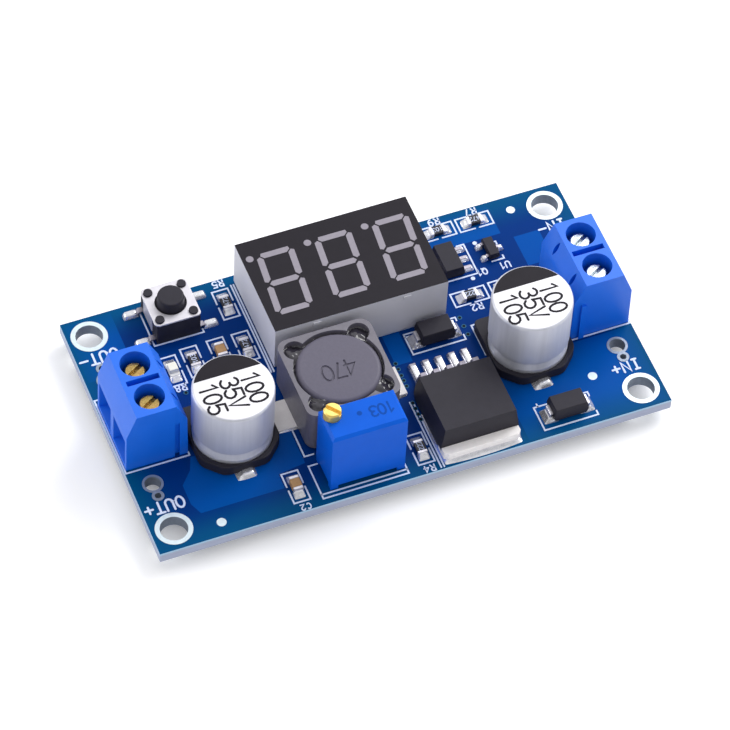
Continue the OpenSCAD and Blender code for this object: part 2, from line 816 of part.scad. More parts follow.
// Two gull-wing feet on one side and one on the other
module reference_lead_solids()
  for (lead = [[180, -0.95], [180, 0.95], [0, 0]])
    rotate([0, 0, lead[0]]) translate([0, lead[1], 0])
      strip_along_x([
        [0.5, 0.55], [0.85, 0.55], [0.95, film], [1.35, film],
        [1.35, film + 0.15], [1.08, film + 0.15], [0.98, 0.7], [0.5, 0.7]
      ], 0.42);

module reference_body() {
  color("dimgray") on_board(reference)
    difference() {
      two_sections(drafted(0.62, 0.7, 0.6, [0.2, 0.62, 1.15]), drafted(1.4, 1.48, 1.38, [0.2, 0.62, 1.15]));
      reference_lead_solids();
    }
}

module reference_leads() color("silver") on_board(reference) reference_lead_solids();

// ---------------------------------------------------------------- chips

chip_core = [1.2, 1.25];
chip_end = 0.4;
resistor_t = 0.5;
capacitor_t = 0.9;

module at_chips(flat, upright) {
  for (p = flat) on_board(p, film) children();
  for (p = upright) on_board(p, film) rotate([0, 0, 90]) children();
}

module chip_ends(t)
  for (s = [-1, 1]) translate([s * (chip_core[0] + chip_end) / 2, 0, 0]) block([chip_end, chip_core[1], t + 0.03]);

module resistor_bodies() {
  color("dimgray") at_chips(flat_resistors, upright_resistors) block([chip_core[0], chip_core[1], resistor_t]);
}

module resistor_ends() {
  color("silver") at_chips(flat_resistors, upright_resistors) chip_ends(resistor_t);
}

module chip_capacitor_bodies() {
  color("tan") at_chips([], chip_capacitors) block([chip_core[0], chip_core[1], capacitor_t]);
}

module chip_capacitor_ends() {
  color("silver") at_chips([], chip_capacitors) chip_ends(capacitor_t);
}

module indicator_base() {
  color("white") at_chips([], [indicator]) block([2, 1.25, 0.35]);
}

module indicator_lens() {
  color("ivory") at_chips([], [indicator])
    two_sections(drafted(0.65, 0.6, 0.5, [0.35, 0.5, 0.85]), drafted(0.6, 0.6, 0.55, [0.35, 0.5, 0.85]));
}

// ---------------------------------------------------------------- controller, under the board

controller_pitch = 0.65;
function controller_lead_place(i, s) =
  [controller[0] + (i - 4.5) * controller_pitch, controller[1] + s * 2.9];

module controller_lead_solids()
  under_board(controller)
    for (i = [0:9], a = [0, 180]) rotate([0, 0, a]) translate([(i - 4.5) * controller_pitch, 0, 0])
      strip_along_y([
        [2, 0.6], [2.45, 0.6], [2.6, film], [3.2, film],
        [3.2, film + 0.15], [2.72, film + 0.15], [2.57, 0.75], [2, 0.75]
      ], 0.24);

module controller_body() {
  color("dimgray")
    difference() {
      under_board(controller)
        two_sections(drafted(3.15, 3.25, 3.15, [0.2, 0.68, 1.2]), drafted(2.1, 2.2, 2.1, [0.2, 0.68, 1.2]));
      controller_lead_solids();
    }
}

module controller_leads() color("silver") controller_lead_solids();

circuit_board();
mounting_hole_plating();
wire_hole_plating();
surface_solder();
solder_joints();
out_terminal_housing();
in_terminal_housing();
terminal_cages();
out_plus_clamp_plate();
out_minus_clamp_plate();
in_plus_clamp_plate();
in_minus_clamp_plate();
out_plus_screw();
out_minus_screw();
in_plus_screw();
in_minus_screw();
out_capacitor_can();
in_capacitor_can();
out_capacitor_base();
in_capacitor_base();
out_capacitor_leads();
in_capacitor_leads();
inductor_shield();
inductor_drum();
inductor_winding();
inductor_adhesive();
inductor_terminals();
display_housing();
display_segments();
display_board();
display_pins();
switch_base();
switch_cover();
switch_plunger();
switch_dome();
switch_leads();
trimmer_case();
trimmer_screw();
trimmer_seal();
trimmer_pins();
regulator_body();
regulator_tab();
regulator_leads();
output_diode_body();
output_diode_leads();
input_diode_body();
input_diode_leads();
transistor_body();
transistor_leads();
reference_body();
reference_leads();
resistor_bodies();
resistor_ends();
chip_capacitor_bodies();
chip_capacitor_ends();
indicator_base();
indicator_lens();
controller_body();
controller_leads();
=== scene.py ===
# %% [markdown]
# # A step-down converter module
# A small circuit board turns one direct voltage into a lower one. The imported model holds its
# pieces at their real size. This file gives them edges, inks, solder and finishes, and then
# lights them. Each step is a few sentences on what the piece is, and then its code.

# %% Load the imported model
import json
import math

import bmesh
import bpy
from mathutils import Matrix, Quaternion, Vector, noise


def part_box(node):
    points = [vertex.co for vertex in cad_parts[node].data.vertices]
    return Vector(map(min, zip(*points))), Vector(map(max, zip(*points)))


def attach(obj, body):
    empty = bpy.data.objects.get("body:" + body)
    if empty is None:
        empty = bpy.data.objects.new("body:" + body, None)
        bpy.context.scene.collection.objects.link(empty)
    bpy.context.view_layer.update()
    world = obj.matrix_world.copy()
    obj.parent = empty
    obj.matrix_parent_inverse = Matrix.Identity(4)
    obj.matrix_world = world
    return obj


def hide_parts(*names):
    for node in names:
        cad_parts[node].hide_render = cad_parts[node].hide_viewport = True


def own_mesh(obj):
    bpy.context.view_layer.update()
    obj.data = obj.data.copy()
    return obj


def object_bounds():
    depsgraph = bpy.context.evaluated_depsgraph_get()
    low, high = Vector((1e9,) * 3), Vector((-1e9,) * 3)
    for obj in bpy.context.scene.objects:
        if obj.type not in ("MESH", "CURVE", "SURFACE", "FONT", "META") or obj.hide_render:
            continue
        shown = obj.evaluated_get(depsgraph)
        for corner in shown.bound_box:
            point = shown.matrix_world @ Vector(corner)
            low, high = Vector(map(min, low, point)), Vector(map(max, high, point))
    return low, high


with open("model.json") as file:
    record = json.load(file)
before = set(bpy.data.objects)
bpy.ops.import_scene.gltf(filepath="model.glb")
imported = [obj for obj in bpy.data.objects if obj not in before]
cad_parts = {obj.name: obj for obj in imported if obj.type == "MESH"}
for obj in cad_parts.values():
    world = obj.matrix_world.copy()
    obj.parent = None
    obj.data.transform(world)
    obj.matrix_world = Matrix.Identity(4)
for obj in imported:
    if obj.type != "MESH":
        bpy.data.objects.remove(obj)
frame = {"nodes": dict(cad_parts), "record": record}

cad_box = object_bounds()
MM = 0.001
print("pieces in the model:", len(frame["nodes"]))

# %% [markdown]
# ## The camera
# A small board is best shown through a long lens from far off, so that parallel edges stay
# almost parallel. The camera stands in front, to the left and well above, and leans a little,
# which tips the board in the picture. Its place comes from two angles and a distance, and its
# turn from the line back to the target, so no rotation has to be found by hand.

# %% Aim the camera
VIEW_AZIMUTH = math.radians(24.33)
VIEW_ELEVATION = math.radians(53.39)
VIEW_ROLL = math.radians(3.53)
VIEW_DISTANCE = 529.0 * MM
VIEW_TARGET = Vector((-0.51, -1.26, 4.5)) * MM
LENS_LENGTH = 214.9
FARTHEST_SEEN = 10.0

away = Vector((-math.sin(VIEW_AZIMUTH) * math.cos(VIEW_ELEVATION),
               -math.cos(VIEW_AZIMUTH) * math.cos(VIEW_ELEVATION),
               math.sin(VIEW_ELEVATION)))
camera_data = bpy.data.cameras.new("camera")
camera_data.lens = LENS_LENGTH
camera_data.clip_end = FARTHEST_SEEN
camera = bpy.data.objects.new("camera", camera_data)
camera.location = VIEW_TARGET + away * VIEW_DISTANCE
level = (-away).to_track_quat("-Z", "Y")
camera.rotation_euler = (level @ Quaternion((0, 0, 1), VIEW_ROLL)).to_euler()
bpy.context.scene.collection.objects.link(camera)
bpy.context.scene.camera = camera
bpy.context.scene.view_settings.view_transform = "Standard"
print("camera at", [round(c / MM, 1) for c in camera.location], "mm")

# %% [markdown]
# ## Colours and nodes
# Colours are written as the hex values a paint chart gives. Light adds up in linear numbers,
# so one function turns the first into the second. A second function adds a shader node: it
# sets the node's own options, and fills each socket with a value or with a link.

# %% Colour and node helpers
def linear(hex_colour):
    """Turns an sRGB colour such as #1F6BFF into linear red, green, blue and alpha."""
    parts = [int(hex_colour[i:i + 2], 16) / 255 for i in (1, 3, 5)]
    return [p / 12.92 if p <= 0.04045 else ((p + 0.055) / 1.055) ** 2.4 for p in parts] + [1.0]


def node(tree, kind, inputs=None, **settings):
    """Adds a node with its settings, and fills its sockets with values or links."""
    made = tree.nodes.new(kind)
    for name, value in settings.items():
        setattr(made, name, value)
    for key, value in (inputs or {}).items():
        if isinstance(value, bpy.types.NodeSocket):
            tree.links.new(value, made.inputs[key])
        else:
            made.inputs[key].default_value = value
    return made


def per_mm(size):
    """The scale of a pattern whose marks are this many millimetres apart."""
    return 1.0 / (size * MM)


print("mid grey, #808080, is", round(linear("#808080")[0], 3), "in linear light")

# %% [markdown]
# ## A finish
# Every finish here is one Principled shader with two things on top. Its colour drifts between
# two close tones, because no moulding or plating is perfectly even. Its surface has a fine
# relief, which also breaks up the gloss. Both come from noise of a stated size, which needs no
# unwrapping and is the same size on every piece. The real relief of a moulded or plated skin
# is a few hundredths of a millimetre across. That is too fine to show from here, so most
# grains are drawn several times as coarse.

# %% Make a finish from its colour, gloss and grain
GLOSS_SPREAD = 0.2
finishes = {}


def finish(name, colour, other, patch, roughness, metallic=0.0, specular=0.5,
           grain=0.05, depth=0.002, stretch=(1, 1, 1)):
    """One finish: two colours in patches, and a grain with a depth, all sizes in mm."""
    made = bpy.data.materials.new(name)
    made.use_nodes = True
    tree = made.node_tree
    shader = tree.nodes["Principled BSDF"]
    shader.inputs["Metallic"].default_value = metallic
    shader.inputs["Specular IOR Level"].default_value = specular
    place = node(tree, "ShaderNodeTexCoord").outputs["Object"]
    spread = node(tree, "ShaderNodeMapping", {"Vector": place, "Scale": stretch}).outputs[0]
    patches = node(tree, "ShaderNodeTexNoise",
                   {"Vector": spread, "Scale": per_mm(patch), "Detail": 4.0}).outputs["Fac"]
    tone = node(tree, "ShaderNodeMix", {0: patches, 6: linear(colour), 7: linear(other)},
                data_type="RGBA").outputs[2]
    marks = node(tree, "ShaderNodeTexNoise",
                 {"Vector": spread, "Scale": per_mm(grain), "Detail": 2.0}).outputs["Fac"]
    gloss = node(tree, "ShaderNodeMapRange",
                 {"Value": marks, "To Min": roughness * (1 - GLOSS_SPREAD),
                  "To Max": roughness * (1 + GLOSS_SPREAD)}).outputs[0]
    relief = node(tree, "ShaderNodeBump", {"Height": marks, "Distance": depth * MM}).outputs[0]
    tree.links.new(tone, shader.inputs["Base Color"])
    tree.links.new(gloss, shader.inputs["Roughness"])
    tree.links.new(relief, shader.inputs["Normal"])
    finishes[name] = made
    return tree, shader, place, tone


print("gloss varies by", GLOSS_SPREAD, "of itself, up and down")

# %% [markdown]
# ## Metals on the board
# Tin and solder freeze from the melt, so they are bright and slightly wavy. A thin film of
# flux and oxide stays on them and scatters light as pale paint does. A metallic share below
# one gives that film. Steel, brass and the screws have little of it, so they are mostly or
# wholly metallic.

# %% Metal finishes
DRAWN_UPWARDS = (1, 1, 0.06)
# Hot tin levelled by air on the hole rings: pale, with low broad waves
finish("tinned_copper", "#E2EEF2", "#C0D0D8", 0.8, 0.42, metallic=0.55, grain=0.5, depth=0.01)
# Solder frozen from paste: the brightest metal here, with ripples
finish("solder", "#F6F6FA", "#C6C7D0", 0.5, 0.24, metallic=0.75, grain=0.35, depth=0.02)
# Tin plate on thin pins and feet: grey and fairly even
finish("tinned_lead", "#B9B3BE", "#8C8894", 0.5, 0.4, metallic=1.0, grain=0.2, depth=0.004)
# Matte tin on the regulator's tab and the inductor's plates, as near-white paint with no metal:
# painted light for their bright reflection, so they look nearly white from every side
finish("broad_tin_painted_light", "#FBF8F7", "#E8E3E4", 0.8, 0.6, metallic=0.0, grain=0.3, depth=0.006)
# The same matte tin on the regulator's leads, painted darker: painted shade for the dark
# reflections in their bends
finish("lead_tin_painted_dark", "#A29DA9", "#7C7885", 0.5, 0.45, metallic=0.9, grain=0.2, depth=0.006)
# Tin inside a drilled barrel, as a darker copy: painted shade for where little light gets in
finish("hole_tin_painted_dim", "#9BA5B3", "#808A99", 0.6, 0.45, metallic=0.6, grain=0.3, depth=0.006)
# Tin on the ends of the chips, wetted by the solder
finish("chip_tin", "#F0EEF4", "#BDBAC6", 0.3, 0.32, metallic=0.75, grain=0.2, depth=0.01)
# Bent steel of the contact cages, plated and a little scratched
finish("clamp_steel", "#C4C2BE", "#A09D99", 0.6, 0.32, metallic=1.0, grain=0.15, depth=0.004)
# Bright zinc on the input screws. The sparkle of a turned head comes partly from the relief
# and partly from painted glints: the colour swings between pale and dark grey in small patches
finish("bright_zinc", "#E9F1F3", "#8F9AA2", 0.35, 0.28, metallic=1.0, grain=0.22, depth=0.02)
# Stamped cover of the push button: pale and satin
finish("switch_steel", "#DCDAE0", "#C6C3CC", 1.0, 0.45, metallic=0.8, grain=0.08, depth=0.002)
# Turned brass of the trimmer's screw: yellow, with tool marks
finish("trimmer_brass", "#FFE68E", "#EBC35E", 0.5, 0.42, metallic=0.75, grain=0.15, depth=0.004)
# Enamelled copper of the winding
finish("copper_wire", "#8E5B3A", "#5F3A26", 0.5, 0.25, metallic=1.0, grain=0.3, depth=0.004)
# Drawn aluminium under clear coat: the die leaves streaks along the can's wall
finish("can_aluminium", "#DADCE6", "#C3C5D0", 0.6, 0.5, metallic=0.6, grain=0.12, depth=0.0012,
       stretch=DRAWN_UPWARDS)
# The can's closed end: a matte, almost white copy of the aluminium, painted light that stands
# for the end's bright reflection
finish("can_end_painted_light", "#EFEEF3", "#E2E1E8", 1.5, 0.6, metallic=0.25, specular=0.3,
       grain=0.15, depth=0.002)
print("metal finishes:", len(finishes))

# %% [markdown]
# ## Yellow zinc
# The output screws are zinc plated and then passivated. The chromate film is so thin that it
# shows gold with olive and copper pink in it, as oil does on water. The shader could work such
# a film out from its thickness. Patches of two film colours over the gold are easier to steer.

# %% Yellow passivated zinc
FILM_PATCH = 0.9
FILM_SHARE = 0.4
tree, shader, place, gold = finish("yellow_zinc", "#F6E08C", "#8E6A28", 0.35, 0.26, metallic=1.0,
                                   grain=0.4, depth=0.03)
bloom = node(tree, "ShaderNodeTexNoise",
             {"Vector": place, "Scale": per_mm(FILM_PATCH), "Detail": 1.0}).outputs["Fac"]
film = node(tree, "ShaderNodeValToRGB", {"Fac": bloom})
film.color_ramp.elements[0].color = linear("#5F6A2A")
film.color_ramp.elements[1].color = linear("#B8705F")
tinted = node(tree, "ShaderNodeMix", {0: FILM_SHARE, 6: gold, 7: film.outputs["Color"]},
              data_type="RGBA")
tree.links.new(tinted.outputs[2], shader.inputs["Base Color"])
print("film colours lie in patches of", FILM_PATCH, "mm")

# %% [markdown]
# ## Plastics and ceramics
# The terminal blocks are moulded nylon and the trimmer's case is a glass-filled polyester: both
# are saturated blues with a satin skin. The packages are black epoxy, transfer moulded, with a
# matte skin from the tool's spark-eroded surface. Ferrite is a pressed and fired ceramic, dark
# and slightly speckled. A low specular share stands for a skin that is rough at a size too
# small to draw.

# %% Plastic and ceramic finishes
# Moulded nylon, and moulded polyester with its ink
finish("terminal_blue", "#086AE6", "#0262DA", 3.0, 0.42, specular=0.5, grain=0.12, depth=0.003)
finish("trimmer_blue", "#005DD6", "#0055C8", 2.0, 0.42, specular=0.12, grain=0.12, depth=0.003)
finish("trimmer_stamp", "#0048A6", "#00429A", 1.0, 0.5, specular=0.1, grain=0.12, depth=0.003)
# Black mouldings: the epoxy packages, the bases of the cans and the push button
finish("black_moulding", "#2B2933", "#23212A", 1.2, 0.55, specular=0.25, grain=0.07, depth=0.004)
# Fired ferrite: matte where it was pressed, glossier where the shield was ground
finish("ferrite", "#615E6E", "#565362", 0.35, 0.55, specular=0.35, grain=0.1, depth=0.008)
finish("ferrite_shell", "#66636F", "#56535F", 0.8, 0.36, specular=0.8, grain=0.3, depth=0.008)
# The display: pale shell, milky resin in the segments, black ink on the face
finish("display_shell", "#CFCFD6", "#C3C3CB", 4.0, 0.5, specular=0.35, grain=0.1, depth=0.002)
finish("display_resin", "#938E99", "#86818D", 0.5, 0.45, specular=0.3, grain=0.1, depth=0.003)
finish("mark_black", "#211E26", "#1B181F", 1.5, 0.5, specular=0.15, grain=0.12, depth=0.003)
# Uncoated laminate, and the resin that seals the trimmer
finish("bare_laminate", "#A8B08A", "#969E7A", 0.5, 0.5, grain=0.3, depth=0.005)
finish("potting", "#2A3A6B", "#22305C", 1.0, 0.4, grain=0.4, depth=0.01)
# Glass over the resistors, fired ceramic of the chip capacitors, and the indicator light
finish("resistor_glaze", "#26242B", "#1D1B22", 0.4, 0.3, specular=0.4, grain=0.1, depth=0.002)
finish("tan_ceramic", "#B99062", "#A17C55", 0.3, 0.5, specular=0.3, grain=0.08, depth=0.004)
finish("indicator_white", "#ECEBE6", "#DEDDD6", 0.5, 0.4, grain=0.1, depth=0.002)
finish("indicator_clear", "#F2F0E6", "#E6E3D2", 0.4, 0.15, grain=0.2, depth=0.002)
# Screen-printed ink, and the glossy adhesive round the inductor's drum
finish("legend_white", "#DFE8FF", "#CBD8F5", 0.3, 0.6, specular=0.2, grain=0.1, depth=0.004)
finish("adhesive", "#35323D", "#232129", 0.6, 0.12, specular=0.7, grain=0.5, depth=0.012)
# Mask over a plated ring, and a near-black disc inside it: painted shade where the hole is
finish("via_ring", "#2C6E90", "#235F80", 0.4, 0.35, specular=0.2, grain=0.2, depth=0.004)
finish("via_painted_shade", "#08131F", "#060F19", 0.3, 0.5, specular=0.1, grain=0.1, depth=0.002)
print("finishes so far:", len(finishes))

# %% [markdown]
# ## Solder mask
# The board's blue is an epoxy ink a few hundredths of a millimetre thick. Over bare laminate
# it looks navy, over copper it looks bright blue, and near the edges it thins towards teal. The
# distance to the edge comes from the position on the board, so the tone needs no painted map.

# %% Solder mask over laminate and over copper
RIM_REACH = 5.0 * MM
RIM_SHARE = 0.8
board_low, board_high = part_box("circuit_board")


def mask(name, colour, other, rim):
    """Solder mask whose tone turns towards the rim colour over the board's last millimetres."""
    tree, shader, place, tone = finish(name, colour, other, 5.0, 0.34, specular=0.04,
                                       grain=0.4, depth=0.004)
    apart = node(tree, "ShaderNodeSeparateXYZ", {"Vector": place})
    reach = []
    for axis, half in (("X", board_high.x), ("Y", board_high.y)):
        size = node(tree, "ShaderNodeMath", {0: apart.outputs[axis]},
                    operation="ABSOLUTE").outputs[0]
        reach.append(node(tree, "ShaderNodeMath", {0: half, 1: size},
                          operation="SUBTRACT").outputs[0])
    gap = node(tree, "ShaderNodeMath", {0: reach[0], 1: reach[1]}, operation="MINIMUM").outputs[0]
    near = node(tree, "ShaderNodeMapRange",
                {"Value": gap, "From Min": 0.0, "From Max": RIM_REACH,
                 "To Min": RIM_SHARE, "To Max": 0.0}, interpolation_type="SMOOTHSTEP").outputs[0]
    both = node(tree, "ShaderNodeMix", {0: near, 6: tone, 7: linear(rim)}, data_type="RGBA")
    tree.links.new(both.outputs[2], shader.inputs["Base Color"])


mask("solder_mask", "#002E70", "#003480", "#004F7A")
mask("mask_on_copper", "#00489A", "#004FA2", "#004A78")
print("the mask's rim is", RIM_REACH / MM, "mm wide")

# %% [markdown]
# ## The cut edge
# A router leaves the edge of the glass laminate bare: layers of glass cloth that run flat, so
# their marks are long sideways and short upwards. Under the mask the cut looks paler, because
# light enters there. A blend by height gives both, from the one solid.

# %% Cut edge of the glass laminate
LAID_FLAT = (0.12, 0.12, 2)
PALE_FROM = 0.45 * MM
PALE_FULL = 0.1 * MM
PALE_SHARE = 0.7
tree, shader, place, tone = finish("laminate_edge", "#AEB8D0", "#989DB4", 0.5, 0.6, specular=0.3,
                                   grain=0.12, depth=0.008, stretch=LAID_FLAT)
height = node(tree, "ShaderNodeSeparateXYZ", {"Vector": place}).outputs["Z"]
upper = node(tree, "ShaderNodeMapRange",
             {"Value": height, "From Min": board_high.z - PALE_FROM,
              "From Max": board_high.z - PALE_FULL, "To Max": PALE_SHARE}).outputs[0]
glass = node(tree, "ShaderNodeMix", {0: upper, 6: tone, 7: linear("#A6D6F0")}, data_type="RGBA")
tree.links.new(glass.outputs[2], shader.inputs["Base Color"])
print("finishes made:", len(finishes))

# %% [markdown]
# ## Rounded edges
# A moulded, stamped or routed edge is never perfectly sharp, and its small radius catches the
# light. Each solid is copied, its triangles are merged back to whole faces, and a bevel the
# width of the real radius runs along every sharp edge. The copy stands for the solid. A
# modifier does this, so the same few lines serve a tiny lead and a whole housing.

# %% Copy a solid with rounded edges
WELD = 0.001 * MM
FLAT = math.radians(0.5)
slot_of = {row["node"]: row["material_slot"] for row in frame["record"]["subparts"]}
body_of = {name: body for body, names in frame["record"]["behaviour"]["bodies"].items()
           for name in names}


def add_bevel(piece, radius, steps, sharp):
    """Rounds the edges that turn by more than some degrees, to a radius in mm."""
    edge = piece.modifiers.new("edge", "BEVEL")
    edge.width = radius * MM
    edge.segments = steps
    edge.limit_method = "ANGLE"
    edge.angle_limit = math.radians(sharp)
    return edge


def rounded(name, radius, steps=2, materials=None):
    """Stands for a solid with a copy whose sharp edges have a radius in mm, or none."""
    mesh = frame["nodes"][name].data.copy()
    shape = bmesh.new()
    shape.from_mesh(mesh)
    bmesh.ops.remove_doubles(shape, verts=shape.verts, dist=WELD)
    bmesh.ops.dissolve_limit(shape, angle_limit=FLAT, verts=shape.verts, edges=shape.edges)
    for face in shape.faces:
        face.smooth = True
    shape.to_mesh(mesh)
    shape.free()
    if "custom_normal" in mesh.attributes:
        mesh.attributes.remove(mesh.attributes["custom_normal"])
    mesh.materials.clear()
    for slot in materials or [slot_of[name]]:
        mesh.materials.append(finishes[slot])
    piece = bpy.data.objects.new(name + "_rounded", mesh)
    bpy.context.scene.collection.objects.link(piece)
    if radius:
        add_bevel(piece, radius, steps, sharp=30).harden_normals = True
    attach(piece, body_of[name])
    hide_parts(name)
    return piece


print("solids to dress:", len(slot_of))

# %% [markdown]
# ## One radius for each solid
# Moulded plastic has the largest radius, cut sheet metal a small one, and the chips are
# tumbled before they are tinned. A few pieces take their own finish: ground ferrite; broad tin
# plate, painted near-white for its bright reflection; the regulator's leads, painted darker as
# shade in their bends; and tin down in a hole, painted dim as shade.

# %% Round the edges
RADII = {
    "out_terminal_housing": 0.12, "in_terminal_housing": 0.12,
    "out_capacitor_base": 0.12, "in_capacitor_base": 0.12,
    "inductor_shield": 0.15, "inductor_terminals": 0.08,
    "switch_base": 0.06, "switch_cover": 0.06, "switch_plunger": 0.08,
    "trimmer_case": 0.12, "trimmer_screw": 0.05,
    "regulator_body": 0.1, "regulator_tab": 0.06, "regulator_leads": 0.08,
    "output_diode_body": 0.08, "input_diode_body": 0.08,
    "output_diode_leads": 0.05, "input_diode_leads": 0.05,
    "transistor_body": 0.06, "transistor_leads": 0.06,
    "reference_body": 0.05, "reference_leads": 0.03,
    "controller_body": 0.06,
    "resistor_bodies": 0.04, "resistor_ends": 0.08,
    "chip_capacitor_bodies": 0.08, "chip_capacitor_ends": 0.1,
    "indicator_base": 0.03, "indicator_lens": 0.06,
    "out_plus_screw": 0.05, "out_minus_screw": 0.05,
    "in_plus_screw": 0.05, "in_minus_screw": 0.05,
}
OWN_FINISH = {
    "inductor_shield": "ferrite_shell",
    "inductor_terminals": "broad_tin_painted_light", "regulator_tab": "broad_tin_painted_light",
    "regulator_leads": "lead_tin_painted_dark", "wire_hole_plating": "hole_tin_painted_dim",
    "output_diode_leads": "chip_tin", "input_diode_leads": "chip_tin",
}
for name, radius in RADII.items():
    rounded(name, radius, materials=[OWN_FINISH.get(name, slot_of[name])])
print("solids with rounded edges:", len(RADII))

# %% [markdown]
# ## Copper under the mask
# Broad copper areas carry the current, and the mask over them looks brighter. They could be
# separate thin sheets, but those would leave a step. Here the board's own top face is split
# along their outlines, and the faces inside an outline take the brighter finish.

# %% Split faces along an outline
SNAP = 0.0005 * MM
board_corner = Vector((board_low.x, board_low.y, board_high.z))


def on_board(x, y):
    """A point on the board's top, from its front left corner, in mm."""
    return board_corner + Vector((x, y, 0)) * MM


def cut_along(piece, outlines):
    """Splits a piece's faces along the lines of outlines drawn in mm on the board."""
    shape = bmesh.new()
    shape.from_mesh(piece.data)
    done = set()
    for outline in outlines:
        for (x0, y0), (x1, y1) in zip(outline, outline[1:] + outline[:1]):
            across = Vector((y1 - y0, x0 - x1, 0)).normalized()
            line = (across.x, across.y, across.x * x0 + across.y * y0)
            key = tuple(round(abs(part), 3) for part in line)
            if key not in done:
                done.add(key)
                everything = shape.verts[:] + shape.edges[:] + shape.faces[:]
                bmesh.ops.bisect_plane(shape, geom=everything, dist=SNAP,
                                       plane_co=on_board(x0, y0), plane_no=across)
    shape.to_mesh(piece.data)
    shape.free()


def within(x, y, outline):
    """Tells whether a point lies inside an outline."""
    inside = False
    for (x0, y0), (x1, y1) in zip(outline, outline[1:] + outline[:1]):
        if (y0 > y) != (y1 > y) and x < x0 + (y - y0) / (y1 - y0) * (x1 - x0):
            inside = not inside
    return inside


print("the board's corner is at", [round(c / MM, 2) for c in board_corner], "mm")

# %% Colour the board's faces
# Outlines of the copper areas, in mm from the board's front left corner
COPPER = [
    [(7.5, 10.2), (5.9, 8.4), (5.9, 5.5), (6.6, 3.9), (17.2, 3.9), (17.2, 6), (20.8, 6.5),
     (20.8, 12), (8.2, 12)],
    [(47.4, 0.4), (65.6, 0.4), (65.6, 12.1), (57.6, 12.1), (57.6, 16), (47.4, 16)],
    [(36.4, 16.2), (38.6, 16.2), (38.6, 20.9), (36.4, 20.9)],
    [(0.4, 26.5), (6.4, 26.5), (6.4, 35.6), (0.4, 35.6)],
    [(57.6, 25), (61, 25), (61, 29.8), (57.6, 29.8)],
    [(47.3, 30.9), (56.3, 30.9), (56.3, 35.6), (47.3, 35.6)],
]
EDGE_FINISH, COPPER_FINISH = 1, 2


def is_wall(face):
    """Tells whether a face looks more sideways than up or down."""
    return abs(face.normal.z) < 0.5


def over_copper(face):
    """Tells whether a face of the board lies on top, over copper."""
    spot = (face.center - board_corner) / MM
    return face.normal.z > 0.5 and any(within(spot.x, spot.y, area) for area in COPPER)


def give_finish(piece, index, chosen):
    """Gives one of a piece's finishes to every face that the test picks."""
    for face in piece.data.polygons:
        if chosen(face):
            face.material_index = index


board = rounded("circuit_board", 0.04, steps=1,
                materials=["solder_mask", "laminate_edge", "mask_on_copper"])
cut_along(board, COPPER)
give_finish(board, EDGE_FINISH, is_wall)
give_finish(board, COPPER_FINISH, over_copper)
print("faces of the board:", len(board.data.polygons))

# %% [markdown]
# ## Two finishes on one piece
# The display's shell is pale plastic with a black printed face. The tin of a mounting hole is
# bright on its rings and dim in its barrel, where a darker copy of the tin is painted shade. A
# capacitor's can is drawn along its wall, and its end takes a matte, near-white copy of the
# aluminium, painted light for the end's bright reflection. A face's own direction and place
# tell which finish it takes.

# %% Colour the display, the mounting holes and the cans
FACE_DEPTH = 0.05 * MM
UPWARD = 0.9
display = rounded("display_housing", 0.06, materials=["display_shell", "mark_black"])
display_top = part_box("display_segments")[1].z
give_finish(display, 1, lambda face: face.normal.z > UPWARD
            and face.center.z > display_top - FACE_DEPTH)
plating = rounded("mounting_hole_plating", 0.01, steps=1, materials=["tinned_copper", "hole_tin_painted_dim"])
# The barrel's walls take the darker tin: painted shade
give_finish(plating, 1, is_wall)
for name in ("out_capacitor_can", "in_capacitor_can"):
    can = rounded(name, 0.06, materials=["can_aluminium", "can_end_painted_light"])
    # The upward end takes the near-white copy: painted light
    give_finish(can, 1, lambda face: face.normal.z > UPWARD)
print("the display's face is", round(display_top / MM, 2), "mm up")

# %% [markdown]
# ## The snap dome
# A dished steel disc lies under the push button. It flattens as the button goes down, and it
# springs back when the button is let go. The copy keeps the dome's resting shape, in a mesh of
# its own.

# %% Give the dome its own mesh
dome = rounded("switch_dome", 0)
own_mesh(dome)

# %% [markdown]
# ## Everything else keeps its solid
# What is small, round or hidden has the right shape already, so it only takes its finish. Three
# of these solids get a finer stand-in further on: the solder, the inductor's drum and its
# adhesive.

# %% Finish the remaining solids
left_over = [name for name, piece in frame["nodes"].items() if not piece.hide_render]
for name in left_over:
    piece = frame["nodes"][name]
    piece.data.materials.clear()
    piece.data.materials.append(finishes[OWN_FINISH.get(name, slot_of[name])])
print("solids that only take a finish:", left_over)

# %% [markdown]
# ## Flat shapes
# Ink and copper are thin layers on a face. Each is built as a low prism: an outline is drawn
# on a plane that lies on the face, in millimetres, and raised by the layer's thickness. A
# decal picture would do for one view, but a prism has a real edge from every side.

# %% Build low prisms from outlines
def face_at(origin, turn=0.0):
    """A drawing plane on an upward face: its place, turned anticlockwise by degrees."""
    return Matrix.Translation(origin) @ Matrix.Rotation(math.radians(turn), 4, "Z")


def top_middle(low, high):
    """The middle of a box's upper face."""
    return Vector(((low.x + high.x) / 2, (low.y + high.y) / 2, high.z))


def add_prism(shape, outline, plane, thickness):
    """Adds one outline, drawn in mm on the plane, raised by the thickness in mm."""
    low = [shape.verts.new(plane @ (Vector((x, y, 0)) * MM)) for x, y in outline]
    high = [shape.verts.new(plane @ (Vector((x, y, thickness)) * MM)) for x, y in outline]
    shape.faces.new(reversed(low))
    shape.faces.new(high)
    for i in range(len(outline)):
        j = (i + 1) % len(outline)
        shape.faces.new((low[i], low[j], high[j], high[i]))


def as_object(name, shape):
    """Puts a finished shape in the scene as an object."""
    mesh = bpy.data.meshes.new(name)
    shape.to_mesh(mesh)
    shape.free()
    made = bpy.data.objects.new(name, mesh)
    bpy.context.scene.collection.objects.link(made)
    return made


